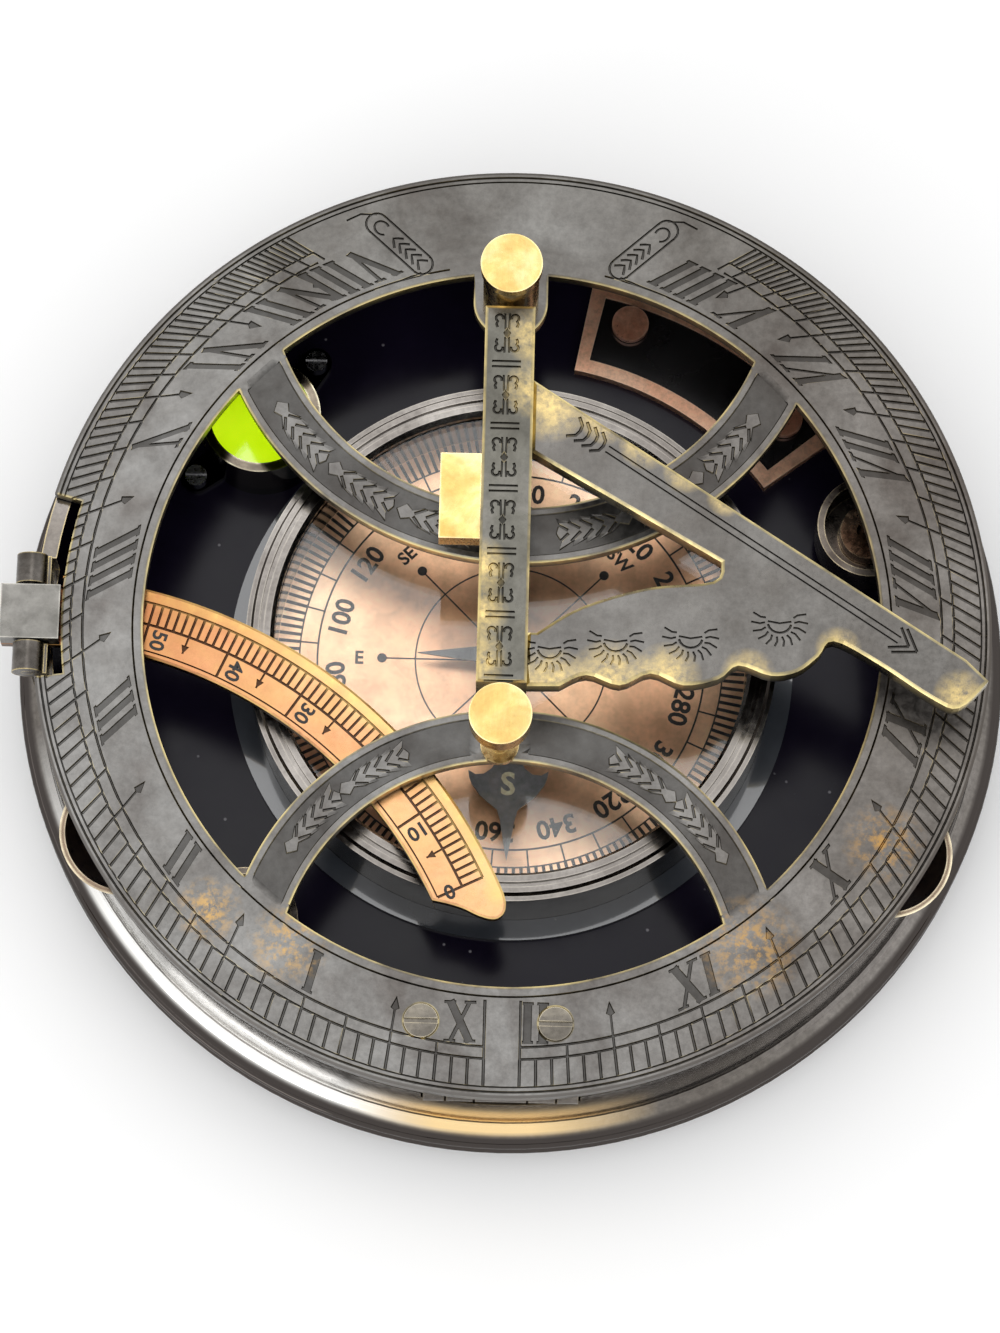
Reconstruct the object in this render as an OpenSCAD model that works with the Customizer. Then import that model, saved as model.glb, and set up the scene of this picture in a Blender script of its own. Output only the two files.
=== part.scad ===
// Folding sundial compass: a round case with a compass, a spirit level and levelling feet,
// a hinged hour ring with a folding gnomon, and a folding latitude arc.
// Origin: centre of the case on the table. +Z up, +Y towards the south end, -Y the noon end.

/* [Case] */
// Outer radius of the case wall
case_r = 60; // [58:0.5:64]
// Thickness of the case wall
wall_t = 2; // [1.5:0.1:2.6]
// Height of the case from its underside to its rim
case_h = 20.1; // [19.5:0.1:26]
// Height of the underside above the table
foot_h = 5; // [4.5:0.1:8]
// Thickness of the floor plate
floor_t = 1.2; // [0.8:0.1:2]
// Thickness of the ledge that carries the floor plate
ledge_t = 0.8; // [0.6:0.1:1.5]
// Width of the ledge that carries the floor plate
ledge_w = 4; // [3:0.1:5]
// How far the base flange stands out from the wall
flange_out = 3.2; // [3.2:0.1:5]
// Height of the base flange
flange_h = 4; // [3.2:0.1:5]
// Radius of the hollow between the flange and the wall
cove_r = 2.6; // [2:0.1:2.6]
// Width of each finger scoop at the rim
notch_w = 10.4; // [9:0.1:12]
// Depth of each finger scoop below the rim
notch_depth = 9.5; // [8:0.1:11]
// How far each finger scoop flares out past the wall
notch_out = 2.1; // [1.8:0.05:2.4]
// Thickness of the lip round each finger scoop
lip_t = 0.7; // [0.5:0.1:1]

/* [Feet and levelling screws] */
// Gap between each boss cup and the wall
foot_gap = 2.6; // [2:0.1:4]
// Direction of the first levelling screw
foot_angle = 20.8; // [15:0.1:25]
// Direction of the second levelling screw, under the foot of the ring's lower arch
front_angle = -132; // [-134:0.5:-118]
// Radius of the levelling screw's shaft
screw_r = 3.6; // [3:0.1:4]
// Radius of the knurled thumb disc
thumb_r = 7; // [6:0.1:8]
// Thickness of the knurled thumb disc
thumb_t = 2; // [1.5:0.1:2.2]
// Radius of the flat under each foot
pad_r = 4.6; // [4:0.1:5.5]
// Radius of the boss cup round each levelling screw
boss_r = 6.7; // [6.2:0.1:7]
// Height of the boss above the floor
boss_h = 9; // [8:0.1:10]
// Height of the screw's top above the floor
screw_top = 6.5; // [6:0.1:7]

/* [Hour ring] */
// Width of the hour ring from its edge to its opening
ring_w = 13.8; // [13:0.1:14.2]
// Thickness of the hour ring
ring_t = 1.9; // [1.5:0.1:2.5]
// Radius of the upper arch along its middle line
upper_arch_r = 35.8; // [34:0.1:38]
// Distance of the upper arch's crown from the middle
upper_crown = 11.5; // [10.5:0.1:12.5]
// Width of the upper arch
upper_arch_w = 7.2; // [6.5:0.1:8]
// Radius of the lower arch along its middle line
lower_arch_r = 31.3; // [30:0.1:33]
// Distance of the lower arch's crown from the middle
lower_crown = 14.4; // [14:0.1:15.5]
// Width of the lower arch
lower_arch_w = 6.5; // [6:0.1:7.5]
// Depth of the channel along each arch
channel_d = 0.4; // [0.2:0.05:0.7]
// Width of the raised border beside each channel
border_w = 0.9; // [0.6:0.1:1.2]
// Width of the lobe that carries the south post
lobe_w = 9.4; // [8.6:0.1:10]
// Depth of the edge notch that clears the latitude arc
edge_notch = 3.6; // [3.4:0.1:4]

/* [Ring hinge] */
// Radius of the ring hinge's barrel
barrel_r = 1.1; // [1:0.05:1.2]
// Half the length of the ring hinge
hinge_half = 9.5; // [8.5:0.5:10.5]
// Half the width of the hinge leaf under the ring
leaf_half = 13; // [12:0.1:14]
// Radius of the ring hinge's pin
ring_pin_r = 0.5; // [0.4:0.05:0.6]
// Thickness of the hinge leaf under the ring
leaf_t = 1.2; // [0.9:0.1:1.4]
// Length of the hinge leaf under the ring
leaf_len = 11.8; // [11:0.1:12.2]

/* [Gnomon] */
// Offset of the gnomon's pivot line from the middle
axis_x = -1.2; // [-2:0.1:0]
// Height of the pivot line above the ring
pivot_h = 8.5; // [8:0.1:9.5]
// Width of the gnomon's bar
bar_w = 6.2; // [5.6:0.1:6.8]
// Height of the gnomon's bar
bar_h = 6; // [5:0.1:6.4]
// Thickness of the gnomon's plate
plate_t = 3; // [2:0.1:4]
// How far the gnomon's tip stays inside the ring's edge
tip_in = 1.5; // [0:0.1:5]
// Length of the gnomon's plate along the bar
gnomon_rise = 39.4; // [38:0.1:40]
// Width of the gnomon's style where it meets the bar
style_w = 9.4; // [8:0.1:10.5]
// Radius of the gnomon's pivots
pivot_r = 0.7; // [0.6:0.05:0.9]
// Width of the stop tab along the bar
tab_w = 11; // [9:0.5:12]

/* [Posts] */
// How far the south post stands inside the ring's opening
south_in = 4.5; // [4:0.1:5.5]
// Offset of the north post from the lower arch's crown
north_off = 1.5; // [1:0.1:2]
// Distance of the bar's end from the north post
north_gap = 5.3; // [4.6:0.1:6]
// Radius of the south post
south_r = 3.5; // [3.1:0.1:3.8]
// Radius of the north post at the pivot
north_r = 1.6; // [1.5:0.05:2]
// Height of the posts above the ring
post_h = 16.7; // [15.5:0.1:18]
// Radius of the posts' heads
head_r = 3.85; // [3.6:0.05:4]
// Thickness of the south head
south_head_t = 1.7; // [1.2:0.1:2.2]
// Thickness of the north head
north_head_t = 3.2; // [2.6:0.1:3.4]

/* [Latitude arc] */
// How far the arc's middle line passes the middle of its hinge
arc_off = 1.35; // [0.8:0.05:1.8]
// Width of the latitude arc
arc_w = 8.5; // [7.5:0.1:9]
// Thickness of the latitude arc
arc_t = 1.5; // [1.2:0.1:1.8]
// Angle of the middle of the arc's round tip
arc_tip_angle = 24.6; // [22:0.1:30]
// Gap between the arc and the ring above it
arc_gap = 0.7; // [0.5:0.1:1]
// Radius of the arc's hinge knuckles
knuckle_r = 1.95; // [1.7:0.05:2.1]
// Width of the arc's hinge block
root_w = 7; // [6:0.1:8]
// Length of each case knuckle
knuckle_len = 3.8; // [3:0.1:4.2]
// Distance of the arc's hinge line outside the case wall
arc_axis_out = 0.4; // [0.2:0.1:0.8]

/* [Compass] */
// Distance of the compass cup from the outside of the wall
cup_margin = 26.3; // [24.5:0.1:28]
// Thickness of the compass cup's wall
cup_wall = 2; // [1.5:0.1:2.5]
// Thickness of the compass cup's floor
cup_floor = 1.2; // [0.8:0.1:1.6]
// Height of the compass cup above the case floor
cup_h = 11.2; // [10.5:0.1:12]
// Width of the bezel
bezel_w = 3.6; // [3:0.1:4]
// Height of the bezel above the cup
bezel_h = 1.7; // [1.2:0.1:2.2]
// Thickness of the glass
glass_t = 1.2; // [0.8:0.1:1.5]
// Thickness of the dial
dial_t = 1; // [0.6:0.1:1.4]
// Radius of the pivot pin
pin_r = 0.7; // [0.6:0.05:0.9]
// Height of the pivot pin's point above the dial
pin_h = 4.6; // [4.2:0.1:5]
// Distance of the needle's tips from the pivot
needle_r = 27; // [24:0.1:28.5]
// Thickness of the needle's plate
needle_t = 0.5; // [0.4:0.05:0.8]
// Half the length of the magnet
magnet_r = 14; // [12:0.1:16]
// Width of the magnet
magnet_w = 3; // [2.4:0.1:3.6]
// Thickness of the magnet
magnet_t = 1.2; // [0.8:0.1:1.5]

/* [Spirit level] */
// Gap between the spirit level and the compass seat
level_gap = 0.5; // [0.3:0.1:1.5]
// Direction of the spirit level
level_angle = 137.8; // [134:0.1:141]
// Outer radius of the spirit level
level_r = 7.7; // [7:0.1:8]
// Height of the spirit level
level_h = 10; // [9:0.1:11]
// Thickness of the spirit level's wall
level_wall = 1.2; // [1:0.1:1.8]
// Radius of the spirit level's screw heads
level_screw_r = 1.4; // [1.1:0.1:1.6]

/* [Nameplate] */
// Gap between the nameplate and the wall
plate_gap = 5; // [4:0.1:5.5]
// Width of the nameplate
plate_w = 12.5; // [11.5:0.1:13]
// Width of the nameplate's border
plate_border = 1.8; // [1.4:0.1:3]
// Thickness of the nameplate
name_t = 1.6; // [1.2:0.1:2]
// Radius of the rivet heads
rivet_r = 2.4; // [2:0.1:2.6]

/* [Hidden] */
$fn = 96;

// Clearances: between bodies that pass each other, round a turning pin, and of a seated piece
gap = 0.3;
run_fit = 0.05;
seat_fit = 0.02;

// Heights above the table
base_z = foot_h;
floor_z = base_z + ledge_t + floor_t;
rim_z = base_z + case_h;
ring_z = rim_z + gap;
ring_top = ring_z + ring_t;
pivot_z = ring_top + pivot_h;
post_z = ring_top + post_h;
arc_z = ring_z - arc_gap - arc_t;
hinge_z = ring_z - gap - barrel_r;
leaf_z = ring_z - leaf_t;

// Radii of the case
inner_r = case_r - wall_t;
flange_r = case_r + flange_out;
ledge_r = inner_r - ledge_w;
flange_round = 0.5;
reed_depth = 0.22;
reed_pitch = 0.5;

// Finger scoops: cones that lean outwards through the wall
notch_angles = [210, 329.5];
scoop_r = (notch_w * notch_w / 4 + notch_out * notch_out) / (2 * notch_out);
scoop_axis = case_r + notch_out - scoop_r;
scoop_low_r = inner_r - scoop_axis - lip_t - 0.1;
scoop_lean = (scoop_r - scoop_low_r) / notch_depth;

// Feet
foot_orbit = inner_r - boss_r - foot_gap;
foot_angles = [foot_angle, front_angle, foot_angle + 120];
slide_travel = 1.5;
pad_h = foot_h - thumb_t - slide_travel - gap;
boss_foot_r = screw_r + 1.4;
boss_step = 2.5;
boss_floor = 1;
boss_wall = 0.9;
socket_r = 1.5;
socket_d = 1.2;

// Hour ring
ring_in_r = case_r - ring_w;
ring_root_r = ring_in_r + 1;
post_screw_r = 1.3;
neck_r = 0.9;
north_stem_r = 1.1;
north_foot_r = 2.4;
north_foot_t = 1;
collar_below = 2;
collar_above = 3.5;
notch_from = 165;
notch_to = 188;
upper_arch_y = upper_crown + upper_arch_r;
lower_arch_y = -lower_crown - lower_arch_r;
south_y = ring_in_r - south_in;
north_y = lower_crown + north_off;
lobe_y = south_y + 0.7;
leaf_screw_xs = [-10, 6.5];
leaf_screw_in = 9.4;
leaf_screw_y = leaf_screw_in - case_r;
leaf_screw_r = 1.1;
leaf_head_r = 2.1;
leaf_head_t = 0.8;

// Ring hinge: the case has two knuckles, the ring leaf the three others
knuckle_in = hinge_half * 0.36;
knuckle_out = hinge_half * 0.7;
hinge_y = barrel_r + 0.1 - case_r;
leaf_shoulder = -sqrt(pow(inner_r - gap, 2) - leaf_half * leaf_half);
relief_half = hinge_half + gap;
relief_z = hinge_z - barrel_r - 2 * gap;
case_leaf_h = 9;
case_leaf_t = 1.2;
case_screw_r = 0.8;
case_screw_head = 1.7;
case_screw_head_t = 0.7;
case_screw_bite = 1;
case_leaf_screw_z = relief_z - case_leaf_h / 2;

// Gnomon, with its outline as distances from the pivot line and along the bar
gnomon_reach = case_r - axis_x - tip_in;
bar_south = south_y - south_r - gap;
bar_north = north_gap - north_y;
edge_x = bar_w / 2;
outline_reach = 59.7;
outline_rise = 39.4;
style_top = [edge_x, bar_north + gnomon_rise];
style_tip = [57, -5.9];
lower_edge = [[59.7, -8.5], [56.1, -12], [52.7, -10.9], [46.2, -6.7], [40.7, -3.9], [38.8, -5.9],
  [36.3, -7.9], [33, -8.5], [29, -7.3], [26.6, -9.1], [22.3, -10], [18.3, -8.6], [14.5, -10.2],
  [10.4, -9], [7.1, -10.5]];
inner_edge = [[26.8, 5.8], [25.8, 3.3], [17.9, 2.3], [9.6, -0.4], [4.2, -3.8]];
stop_reach = pivot_h - gap;
stop_t = 3;
stop_y = upper_crown + 2;
pivot_len = 4;

// Latitude arc
arc_axis_r = case_r + arc_axis_out;
arc_mid_r = case_r + arc_off;
arc_in_r = arc_mid_r - arc_w / 2;
arc_out_r = arc_mid_r + arc_w / 2;
arc_axis_z = ring_top - 1.3;
arc_pin_r = 0.7;
root_out = 3.6;
root_in = 3.8;
root_z = arc_z + arc_t;
root_top = arc_axis_z + 1.6;
root_swing = sqrt(pow(root_out, 2) + pow(arc_axis_z - arc_z, 2));
bracket_top = arc_axis_z - root_swing - gap;
bracket_t = 1.1;
bracket_half = root_w / 2 + gap + knuckle_len;

// Compass
cup_r = case_r - cup_margin;
cup_in_r = cup_r - cup_wall;
cup_z = floor_z + cup_h;
dial_z = floor_z + cup_floor;
dial_top = dial_z + dial_t;
glass_z = cup_z - glass_t;
seat_r = cup_r + 2.6;
seat_h = 0.8;
spacer_wall = bezel_w - cup_wall;
pin_tip_z = dial_top + pin_h;
star_r = 12;
star_waist = 1.9;
// One half of the barbed end of the needle, for a needle with a radius of 27
barb_points = [[1.3, 13.2], [1.5, 13.9], [2.1, 15], [3.1, 15.75], [4.2, 15.85], [5.1, 15.3],
  [4.95, 16.2], [4.6, 17.1], [3.5, 18.6], [2.3, 19.6], [1.3, 20.4], [0.95, 21.6], [0.65, 23.4]];
cap_r = 2.3;
cap_neck_r = pin_r + gap + 0.25;
cap_h = 2.4;
needle_z = pin_tip_z - cap_h + 0.6;

// Spirit level
level_orbit = seat_r + level_gap + level_r;
level_bore = level_r - level_wall;
level_floor = 1.4;
level_glass_t = 1.3;
level_rim = 0.6;
level_ear_t = 1;
level_screw_out = 3.5;
level_screw_orbit = level_orbit + level_screw_out;
level_screw_angles = [-14.4, 12.1];

// Nameplate
plate_out_r = inner_r - plate_gap;
plate_in_r = plate_out_r - plate_w;
name_from = 37;
name_to = 79.5;
name_field_t = 0.5;
rivet_in = 4.6;
rivet_orbit = plate_out_r - rivet_in;
rivet_angles = [44, 72.5];
rivet_h = 0.9;
rivet_pin_r = 0.8;

function polar(r, a) = [r * cos(a), r * sin(a)];

// The angle that an arc of the given length takes at radius r
function turn_of(length, r) = length / r * 180 / PI;

// Points along an arc round a centre
function arc_points(centre, r, from, to, steps) =
  [for (i = [0 : steps]) centre + polar(r, from + (to - from) * i / steps)];

// One point of a smooth curve through p1 and p2, between neighbours p0 and p3
function curve_point(p0, p1, p2, p3, t) =
  0.5 * (2 * p1 + (p2 - p0) * t + (2 * p0 - 5 * p1 + 4 * p2 - p3) * t * t
  + (3 * p1 - p0 - 3 * p2 + p3) * t * t * t);

// A smooth curve through a list of points
function smooth(points, steps = 4) = let (n = len(points) - 1) concat(
  [for (i = [0 : n - 1], s = [0 : steps - 1])
    curve_point(points[max(i - 1, 0)], points[i], points[i + 1], points[min(i + 2, n)], s / steps)],
  [points[n]]);

// The gnomon's points follow its reach and its rise
function on_gnomon(points) = [for (p = points)
  [p[0] * gnomon_reach / outline_reach, bar_north + (p[1] - bar_north) * gnomon_rise / outline_rise]];

module disc(r, z0, z1) {
  translate([0, 0, z0]) cylinder(r = r, h = z1 - z0);
}

module tube(r_out, r_in, z0, z1) {
  difference() {
    disc(r_out, z0, z1);
    disc(r_in, z0 - 1, z1 + 1);
  }
}

module at_polar(r, a) {
  translate(polar(r, a)) children();
}

// A flat sector that reaches past radius r, for cutting rings to a range of angles
module sector(r, from, to) {
  polygon(concat([[0, 0]], arc_points([0, 0], 1.5 * r, from, to, 4)));
}

// A flat piece of a ring between two angles
module ring_piece(r_out, r_in, from, to) {
  intersection() {
    difference() {
      circle(r_out);
      circle(r_in);
    }
    sector(r_out, from, to);
  }
}

// A countersunk slotted screw, head up, with its top at z = 0
module slotted_screw(head, head_t, shank, length) {
  difference() {
    union() {
      translate([0, 0, -head_t]) cylinder(r = head, h = head_t);
      translate([0, 0, -length]) cylinder(r = shank, h = length - head_t);
    }
    translate([-head, -head * 0.14, -head_t * 0.5]) cube([2 * head, head * 0.28, head_t]);
  }
}

// The cone of each finger scoop, wider all round by grow and carried past the rim by over
module finger_scoops(grow, over) {
  for (a = notch_angles) at_polar(scoop_axis, a) translate([0, 0, rim_z - notch_depth])
    cylinder(r1 = scoop_low_r + grow, r2 = scoop_r + grow + over * scoop_lean, h = notch_depth + over);
}

// Case body

module case_profile() {
  top = base_z + flange_h;
  reeds = floor((flange_h - 2 * flange_round) / reed_pitch);
  start = base_z + flange_round;
  polygon(concat(
    [[ledge_r, base_z]],
    arc_points([flange_r - flange_round, base_z + flange_round], flange_round, -90, 0, 6),
    [for (i = [1 : 2 * reeds])
      [flange_r - (i % 2) * reed_depth, start + i * reed_pitch / 2]],
    arc_points([flange_r - flange_round, top - flange_round], flange_round, 0, 90, 6),
    arc_points([case_r + cove_r, top + cove_r], cove_r, -90, -180, 10),
    [[case_r, rim_z], [inner_r, rim_z], [inner_r, base_z + ledge_t], [ledge_r, base_z + ledge_t]]));
}

module floor_screw_places() {
  for (a = [60, 180, 300]) at_polar(inner_r - ledge_w / 2, foot_angle + a) children();
}

// Places on the wall for the screws of the case's hinge leaf, along the case's radius
module case_leaf_screw_places() {
  for (a = [-96.5, -83.5]) rotate([0, 0, a])
    translate([inner_r - case_leaf_t - 2 * seat_fit, 0, case_leaf_screw_z])
      rotate([0, -90, 0]) children();
}

module case_shell() {
  color("dimgray") difference() {
    rotate_extrude() case_profile();
    finger_scoops(lip_t + seat_fit, 1);
    translate([-relief_half, -case_r - 1, relief_z])
      cube([2 * relief_half, 3 * wall_t, rim_z]);
    translate([-case_r - 1, -bracket_half - seat_fit, bracket_top - bracket_t])
      cube([2 * wall_t, 2 * (bracket_half + seat_fit), rim_z]);
    floor_screw_places() disc(leaf_screw_r + seat_fit, base_z - 1, floor_z);
    case_leaf_screw_places() translate([0, 0, -case_leaf_t - case_screw_bite - 2 * seat_fit])
      cylinder(r = case_screw_r + seat_fit, h = case_leaf_t + case_screw_bite);
  }
}

module floor_plate() {
  color([0.05, 0.04, 0.09]) difference() {
    disc(inner_r - seat_fit, base_z + ledge_t, floor_z);
    for (a = foot_angles) at_polar(foot_orbit, a) disc(screw_r + run_fit, base_z, floor_z + 1);
    floor_screw_places() disc(leaf_screw_r + seat_fit, base_z - 1, floor_z + 1);
  }
}

module floor_screws() {
  color("gray") floor_screw_places() translate([0, 0, base_z]) mirror([0, 0, 1])
    translate([0, 0, leaf_head_t]) slotted_screw(leaf_head_r, leaf_head_t, leaf_screw_r,
      leaf_head_t + ledge_t + floor_t);
}

module notch_lips() {
  color("goldenrod") difference() {
    finger_scoops(lip_t, 0);
    finger_scoops(0, 1);
    disc(inner_r, base_z, rim_z + 1);
  }
}

// Compass

module compass_seat() {
  color([0.12, 0.13, 0.16]) tube(seat_r, cup_r + seat_fit, floor_z, floor_z + seat_h);
}

module compass_cup() {
  color("dimgray") difference() {
    disc(cup_r, floor_z, cup_z);
    disc(cup_in_r, dial_z, cup_z + 1);
  }
}

module compass_dial() {
  color([0.84, 0.59, 0.43]) tube(cup_in_r - seat_fit, pin_r + seat_fit, dial_z, dial_top);
}

module dial_pivot_pin() {
  tip = 1.2;
  color("gold") union() {
    disc(pin_r, dial_z, pin_tip_z - tip);
    translate([0, 0, pin_tip_z - tip]) cylinder(r1 = pin_r, r2 = 0.1, h = tip);
  }
}

module glass_seat_ring() {
  color([0.15, 0.13, 0.12]) tube(cup_in_r - seat_fit, cup_in_r - spacer_wall, dial_top, glass_z);
}

module compass_glass() {
  color([0.8, 0.9, 0.95, 0.3]) disc(cup_in_r - seat_fit, glass_z, cup_z);
}

module compass_bezel() {
  groove = bezel_w / 6;
  color("gray") rotate_extrude() polygon([
    [cup_r, cup_z], [cup_r, cup_z + 0.6 * bezel_h], [cup_r - groove, cup_z + 0.6 * bezel_h],
    [cup_r - 1.6 * groove, cup_z + bezel_h], [cup_r - 2.8 * groove, cup_z + bezel_h],
    [cup_r - 2.8 * groove, cup_z + 0.7 * bezel_h], [cup_r - 3.8 * groove, cup_z + 0.7 * bezel_h],
    [cup_r - 3.8 * groove, cup_z + bezel_h], [cup_r - 5.2 * groove, cup_z + bezel_h],
    [cup_r - bezel_w, cup_z + 0.4 * bezel_h], [cup_r - bezel_w, cup_z]]);
}

// Needle

module needle_barb() {
  count = len(barb_points);
  k = needle_r / 27;
  polygon(concat([for (p = barb_points) k * p], [[0, needle_r]],
    [for (i = [1 : count]) [-k * barb_points[count - i][0], k * barb_points[count - i][1]]]));
}

module needle_pointer() {
  waist = polar(star_waist, 45);
  color("gray") translate([0, 0, needle_z]) linear_extrude(needle_t) difference() {
    union() {
      polygon([[star_r, 0], waist, [0, needle_r], [-waist[0], waist[1]],
        [-star_r, 0], -waist, [0, -needle_r], [waist[0], -waist[1]]]);
      circle(cap_r + 0.6);
      for (turn = [0, 180]) rotate(turn) needle_barb();
    }
    circle(pin_r + gap);
  }
}

module needle_magnet() {
  z = needle_z + needle_t;
  color([0.1, 0.1, 0.12]) difference() {
    union() {
      translate([-magnet_w / 2, -magnet_r, z]) cube([magnet_w, 2 * magnet_r, magnet_t]);
      disc(cap_r, z, z + magnet_t);
    }
    disc(cap_neck_r + seat_fit, z - 1, z + magnet_t + 1);
  }
}

module needle_cap() {
  z = needle_z + needle_t;
  color("gold") difference() {
    union() {
      disc(cap_neck_r, z, z + magnet_t);
      disc(cap_r, z + magnet_t, needle_z + cap_h);
    }
    disc(pin_r + gap, z - 1, pin_tip_z + gap);
  }
}

// Spirit level

module level_screw_places() {
  for (a = level_screw_angles) at_polar(level_screw_orbit, level_angle + a) children();
}

// A flat ear from one point towards another, round at its first end
module level_ear(from, to) {
  way = to - from;
  translate(from) rotate([0, 0, atan2(way[1], way[0])]) {
    circle(level_screw_r + 0.6);
    translate([0, -level_screw_r - 0.6]) square([norm(way), 2 * (level_screw_r + 0.6)]);
  }
}

module level_cup() {
  color([0.2, 0.2, 0.22]) difference() {
    union() {
      at_polar(level_orbit, level_angle) disc(level_r, floor_z, floor_z + level_h);
      translate([0, 0, floor_z]) linear_extrude(level_ear_t) for (a = level_screw_angles) {
        level_ear(polar(level_screw_orbit, level_angle + a), polar(level_orbit, level_angle));
      }
    }
    at_polar(level_orbit, level_angle) disc(level_bore, floor_z + level_floor, rim_z);
    level_screw_places() disc(level_screw_r * 0.55 + seat_fit, floor_z - 1, floor_z + level_ear_t + 1);
  }
}

module level_liquid() {
  color([0.75, 0.85, 0]) at_polar(level_orbit, level_angle)
    disc(level_bore - seat_fit, floor_z + level_floor,
      floor_z + level_h - level_rim - level_glass_t - 2 * seat_fit);
}

module level_glass() {
  color([0.85, 0.95, 0.6, 0.4]) at_polar(level_orbit, level_angle)
    disc(level_bore - seat_fit, floor_z + level_h - level_rim - level_glass_t,
      floor_z + level_h - level_rim);
}

module level_screws() {
  color([0.1, 0.1, 0.1]) level_screw_places() translate([0, 0, floor_z + level_ear_t + 0.9])
    slotted_screw(level_screw_r, 0.9, level_screw_r * 0.55, 0.9 + level_ear_t);
}

// Nameplate

module name_plate() {
  color([0.82, 0.55, 0.39]) difference() {
    translate([0, 0, floor_z]) linear_extrude(name_t)
      ring_piece(plate_out_r, plate_in_r, name_from, name_to);
    translate([0, 0, floor_z + name_t - name_field_t]) linear_extrude(name_t) name_field_shape(0);
    for (a = rivet_angles) at_polar(rivet_orbit, a)
      disc(rivet_pin_r + seat_fit, floor_z - 1, floor_z + name_t + 1);
  }
}

module name_field_shape(fit) {
  margin = turn_of(plate_border + fit, (plate_out_r + plate_in_r) / 2);
  ring_piece(plate_out_r - plate_border - fit, plate_in_r + plate_border + fit,
    name_from + margin, name_to - margin);
}

module plate_field() {
  color([0.03, 0.03, 0.03]) translate([0, 0, floor_z + name_t - name_field_t])
    linear_extrude(name_field_t / 2) difference() {
      name_field_shape(seat_fit);
      for (a = rivet_angles) at_polar(rivet_orbit, a) circle(rivet_pin_r + seat_fit);
    }
}

module plate_rivets() {
  color([0.75, 0.43, 0.31]) for (a = rivet_angles) at_polar(rivet_orbit, a) {
    disc(rivet_pin_r, floor_z, floor_z + name_t);
    disc(rivet_r, floor_z + name_t, floor_z + name_t + rivet_h);
  }
}

// Feet and levelling screws

module leveling_bosses() {
  step_z = floor_z + boss_step;
  color("dimgray") for (a = [foot_angles[0], foot_angles[1]]) at_polar(foot_orbit, a) difference() {
    union() {
      disc(boss_foot_r, floor_z, step_z);
      disc(boss_r, step_z, floor_z + boss_h);
    }
    disc(screw_r + run_fit, floor_z - 1, floor_z + boss_h + 1);
    disc(boss_r - boss_wall, step_z + boss_floor, floor_z + boss_h + 1);
  }
}

module foot_shape(top) {
  union() {
    disc(pad_r, 0, pad_h);
    disc(thumb_r, pad_h, pad_h + thumb_t);
    disc(screw_r, pad_h + thumb_t, top);
  }
}

module leveling_screw(a) {
  color("goldenrod") at_polar(foot_orbit, a) difference() {
    foot_shape(floor_z + screw_top);
    disc(socket_r, floor_z + screw_top - socket_d, floor_z + screw_top + 1);
  }
}

module leveling_screw_right() {
  leveling_screw(foot_angles[0]);
}

module leveling_screw_front() {
  leveling_screw(foot_angles[1]);
}

module fixed_foot() {
  color("goldenrod") at_polar(foot_orbit, foot_angles[2]) foot_shape(floor_z);
}

// Ring hinge

module ring_pin_line(r) {
  translate([-hinge_half, hinge_y, hinge_z]) rotate([0, 90, 0]) cylinder(r = r, h = 2 * hinge_half);
}

// The parts of the hinge's length that the case knuckles take, widened by a clearance
module case_knuckle_spans(y, z, depth, height, fit) {
  for (s = [-1, 1]) translate([s * (knuckle_in + knuckle_out) / 2, y, z])
    translate([-(knuckle_out - knuckle_in) / 2 - fit, 0, 0])
      cube([knuckle_out - knuckle_in + 2 * fit, depth, height]);
}

module case_hinge_leaf() {
  leaf_top = relief_z;
  half_angle = asin((relief_half - gap) / inner_r);
  color("dimgray") difference() {
    union() {
      intersection() {
        tube(inner_r - seat_fit, inner_r - case_leaf_t, leaf_top - case_leaf_h, leaf_top);
        translate([0, 0, leaf_top - case_leaf_h]) linear_extrude(case_leaf_h)
          sector(inner_r, -90 - half_angle, -90 + half_angle);
      }
      intersection() {
        ring_pin_line(barrel_r);
        case_knuckle_spans(hinge_y - barrel_r, hinge_z - barrel_r, 2 * barrel_r, 2 * barrel_r, 0);
      }
      case_knuckle_spans(hinge_y - barrel_r * 0.5, leaf_top, wall_t + case_leaf_t + barrel_r * 0.5,
        hinge_z - leaf_top, 0);
    }
    ring_pin_line(ring_pin_r + seat_fit);
    case_leaf_screw_places() cylinder(r = case_screw_r + seat_fit, h = 3 * case_leaf_t, center = true);
  }
}

module case_leaf_screws() {
  color("gray") case_leaf_screw_places() translate([0, 0, case_screw_head_t])
    slotted_screw(case_screw_head, case_screw_head_t, case_screw_r,
      case_screw_head_t + case_leaf_t + case_screw_bite);
}

module ring_hinge_pin() {
  color("goldenrod") ring_pin_line(ring_pin_r);
}

module ring_hinge_leaf() {
  root = 2 * barrel_r;
  color("dimgray") difference() {
    union() {
      ring_pin_line(barrel_r);
      translate([-hinge_half, hinge_y, leaf_z]) cube([2 * hinge_half, leaf_len, leaf_t]);
      translate([-leaf_half, leaf_shoulder, leaf_z])
        cube([2 * leaf_half, hinge_y + leaf_len - leaf_shoulder, leaf_t]);
    }
    case_knuckle_spans(hinge_y - root, hinge_z - root, root + barrel_r + gap, 2 * root, gap);
    ring_pin_line(ring_pin_r + run_fit);
    for (x = leaf_screw_xs) translate([x, leaf_screw_y, 0]) disc(leaf_screw_r + seat_fit, leaf_z - 1, rim_z + 2);
  }
}

module ring_leaf_screws() {
  color("gray") for (x = leaf_screw_xs) translate([x, leaf_screw_y, ring_top])
    slotted_screw(leaf_head_r, leaf_head_t, leaf_screw_r, ring_t + leaf_t);
}

// Hour ring

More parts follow.
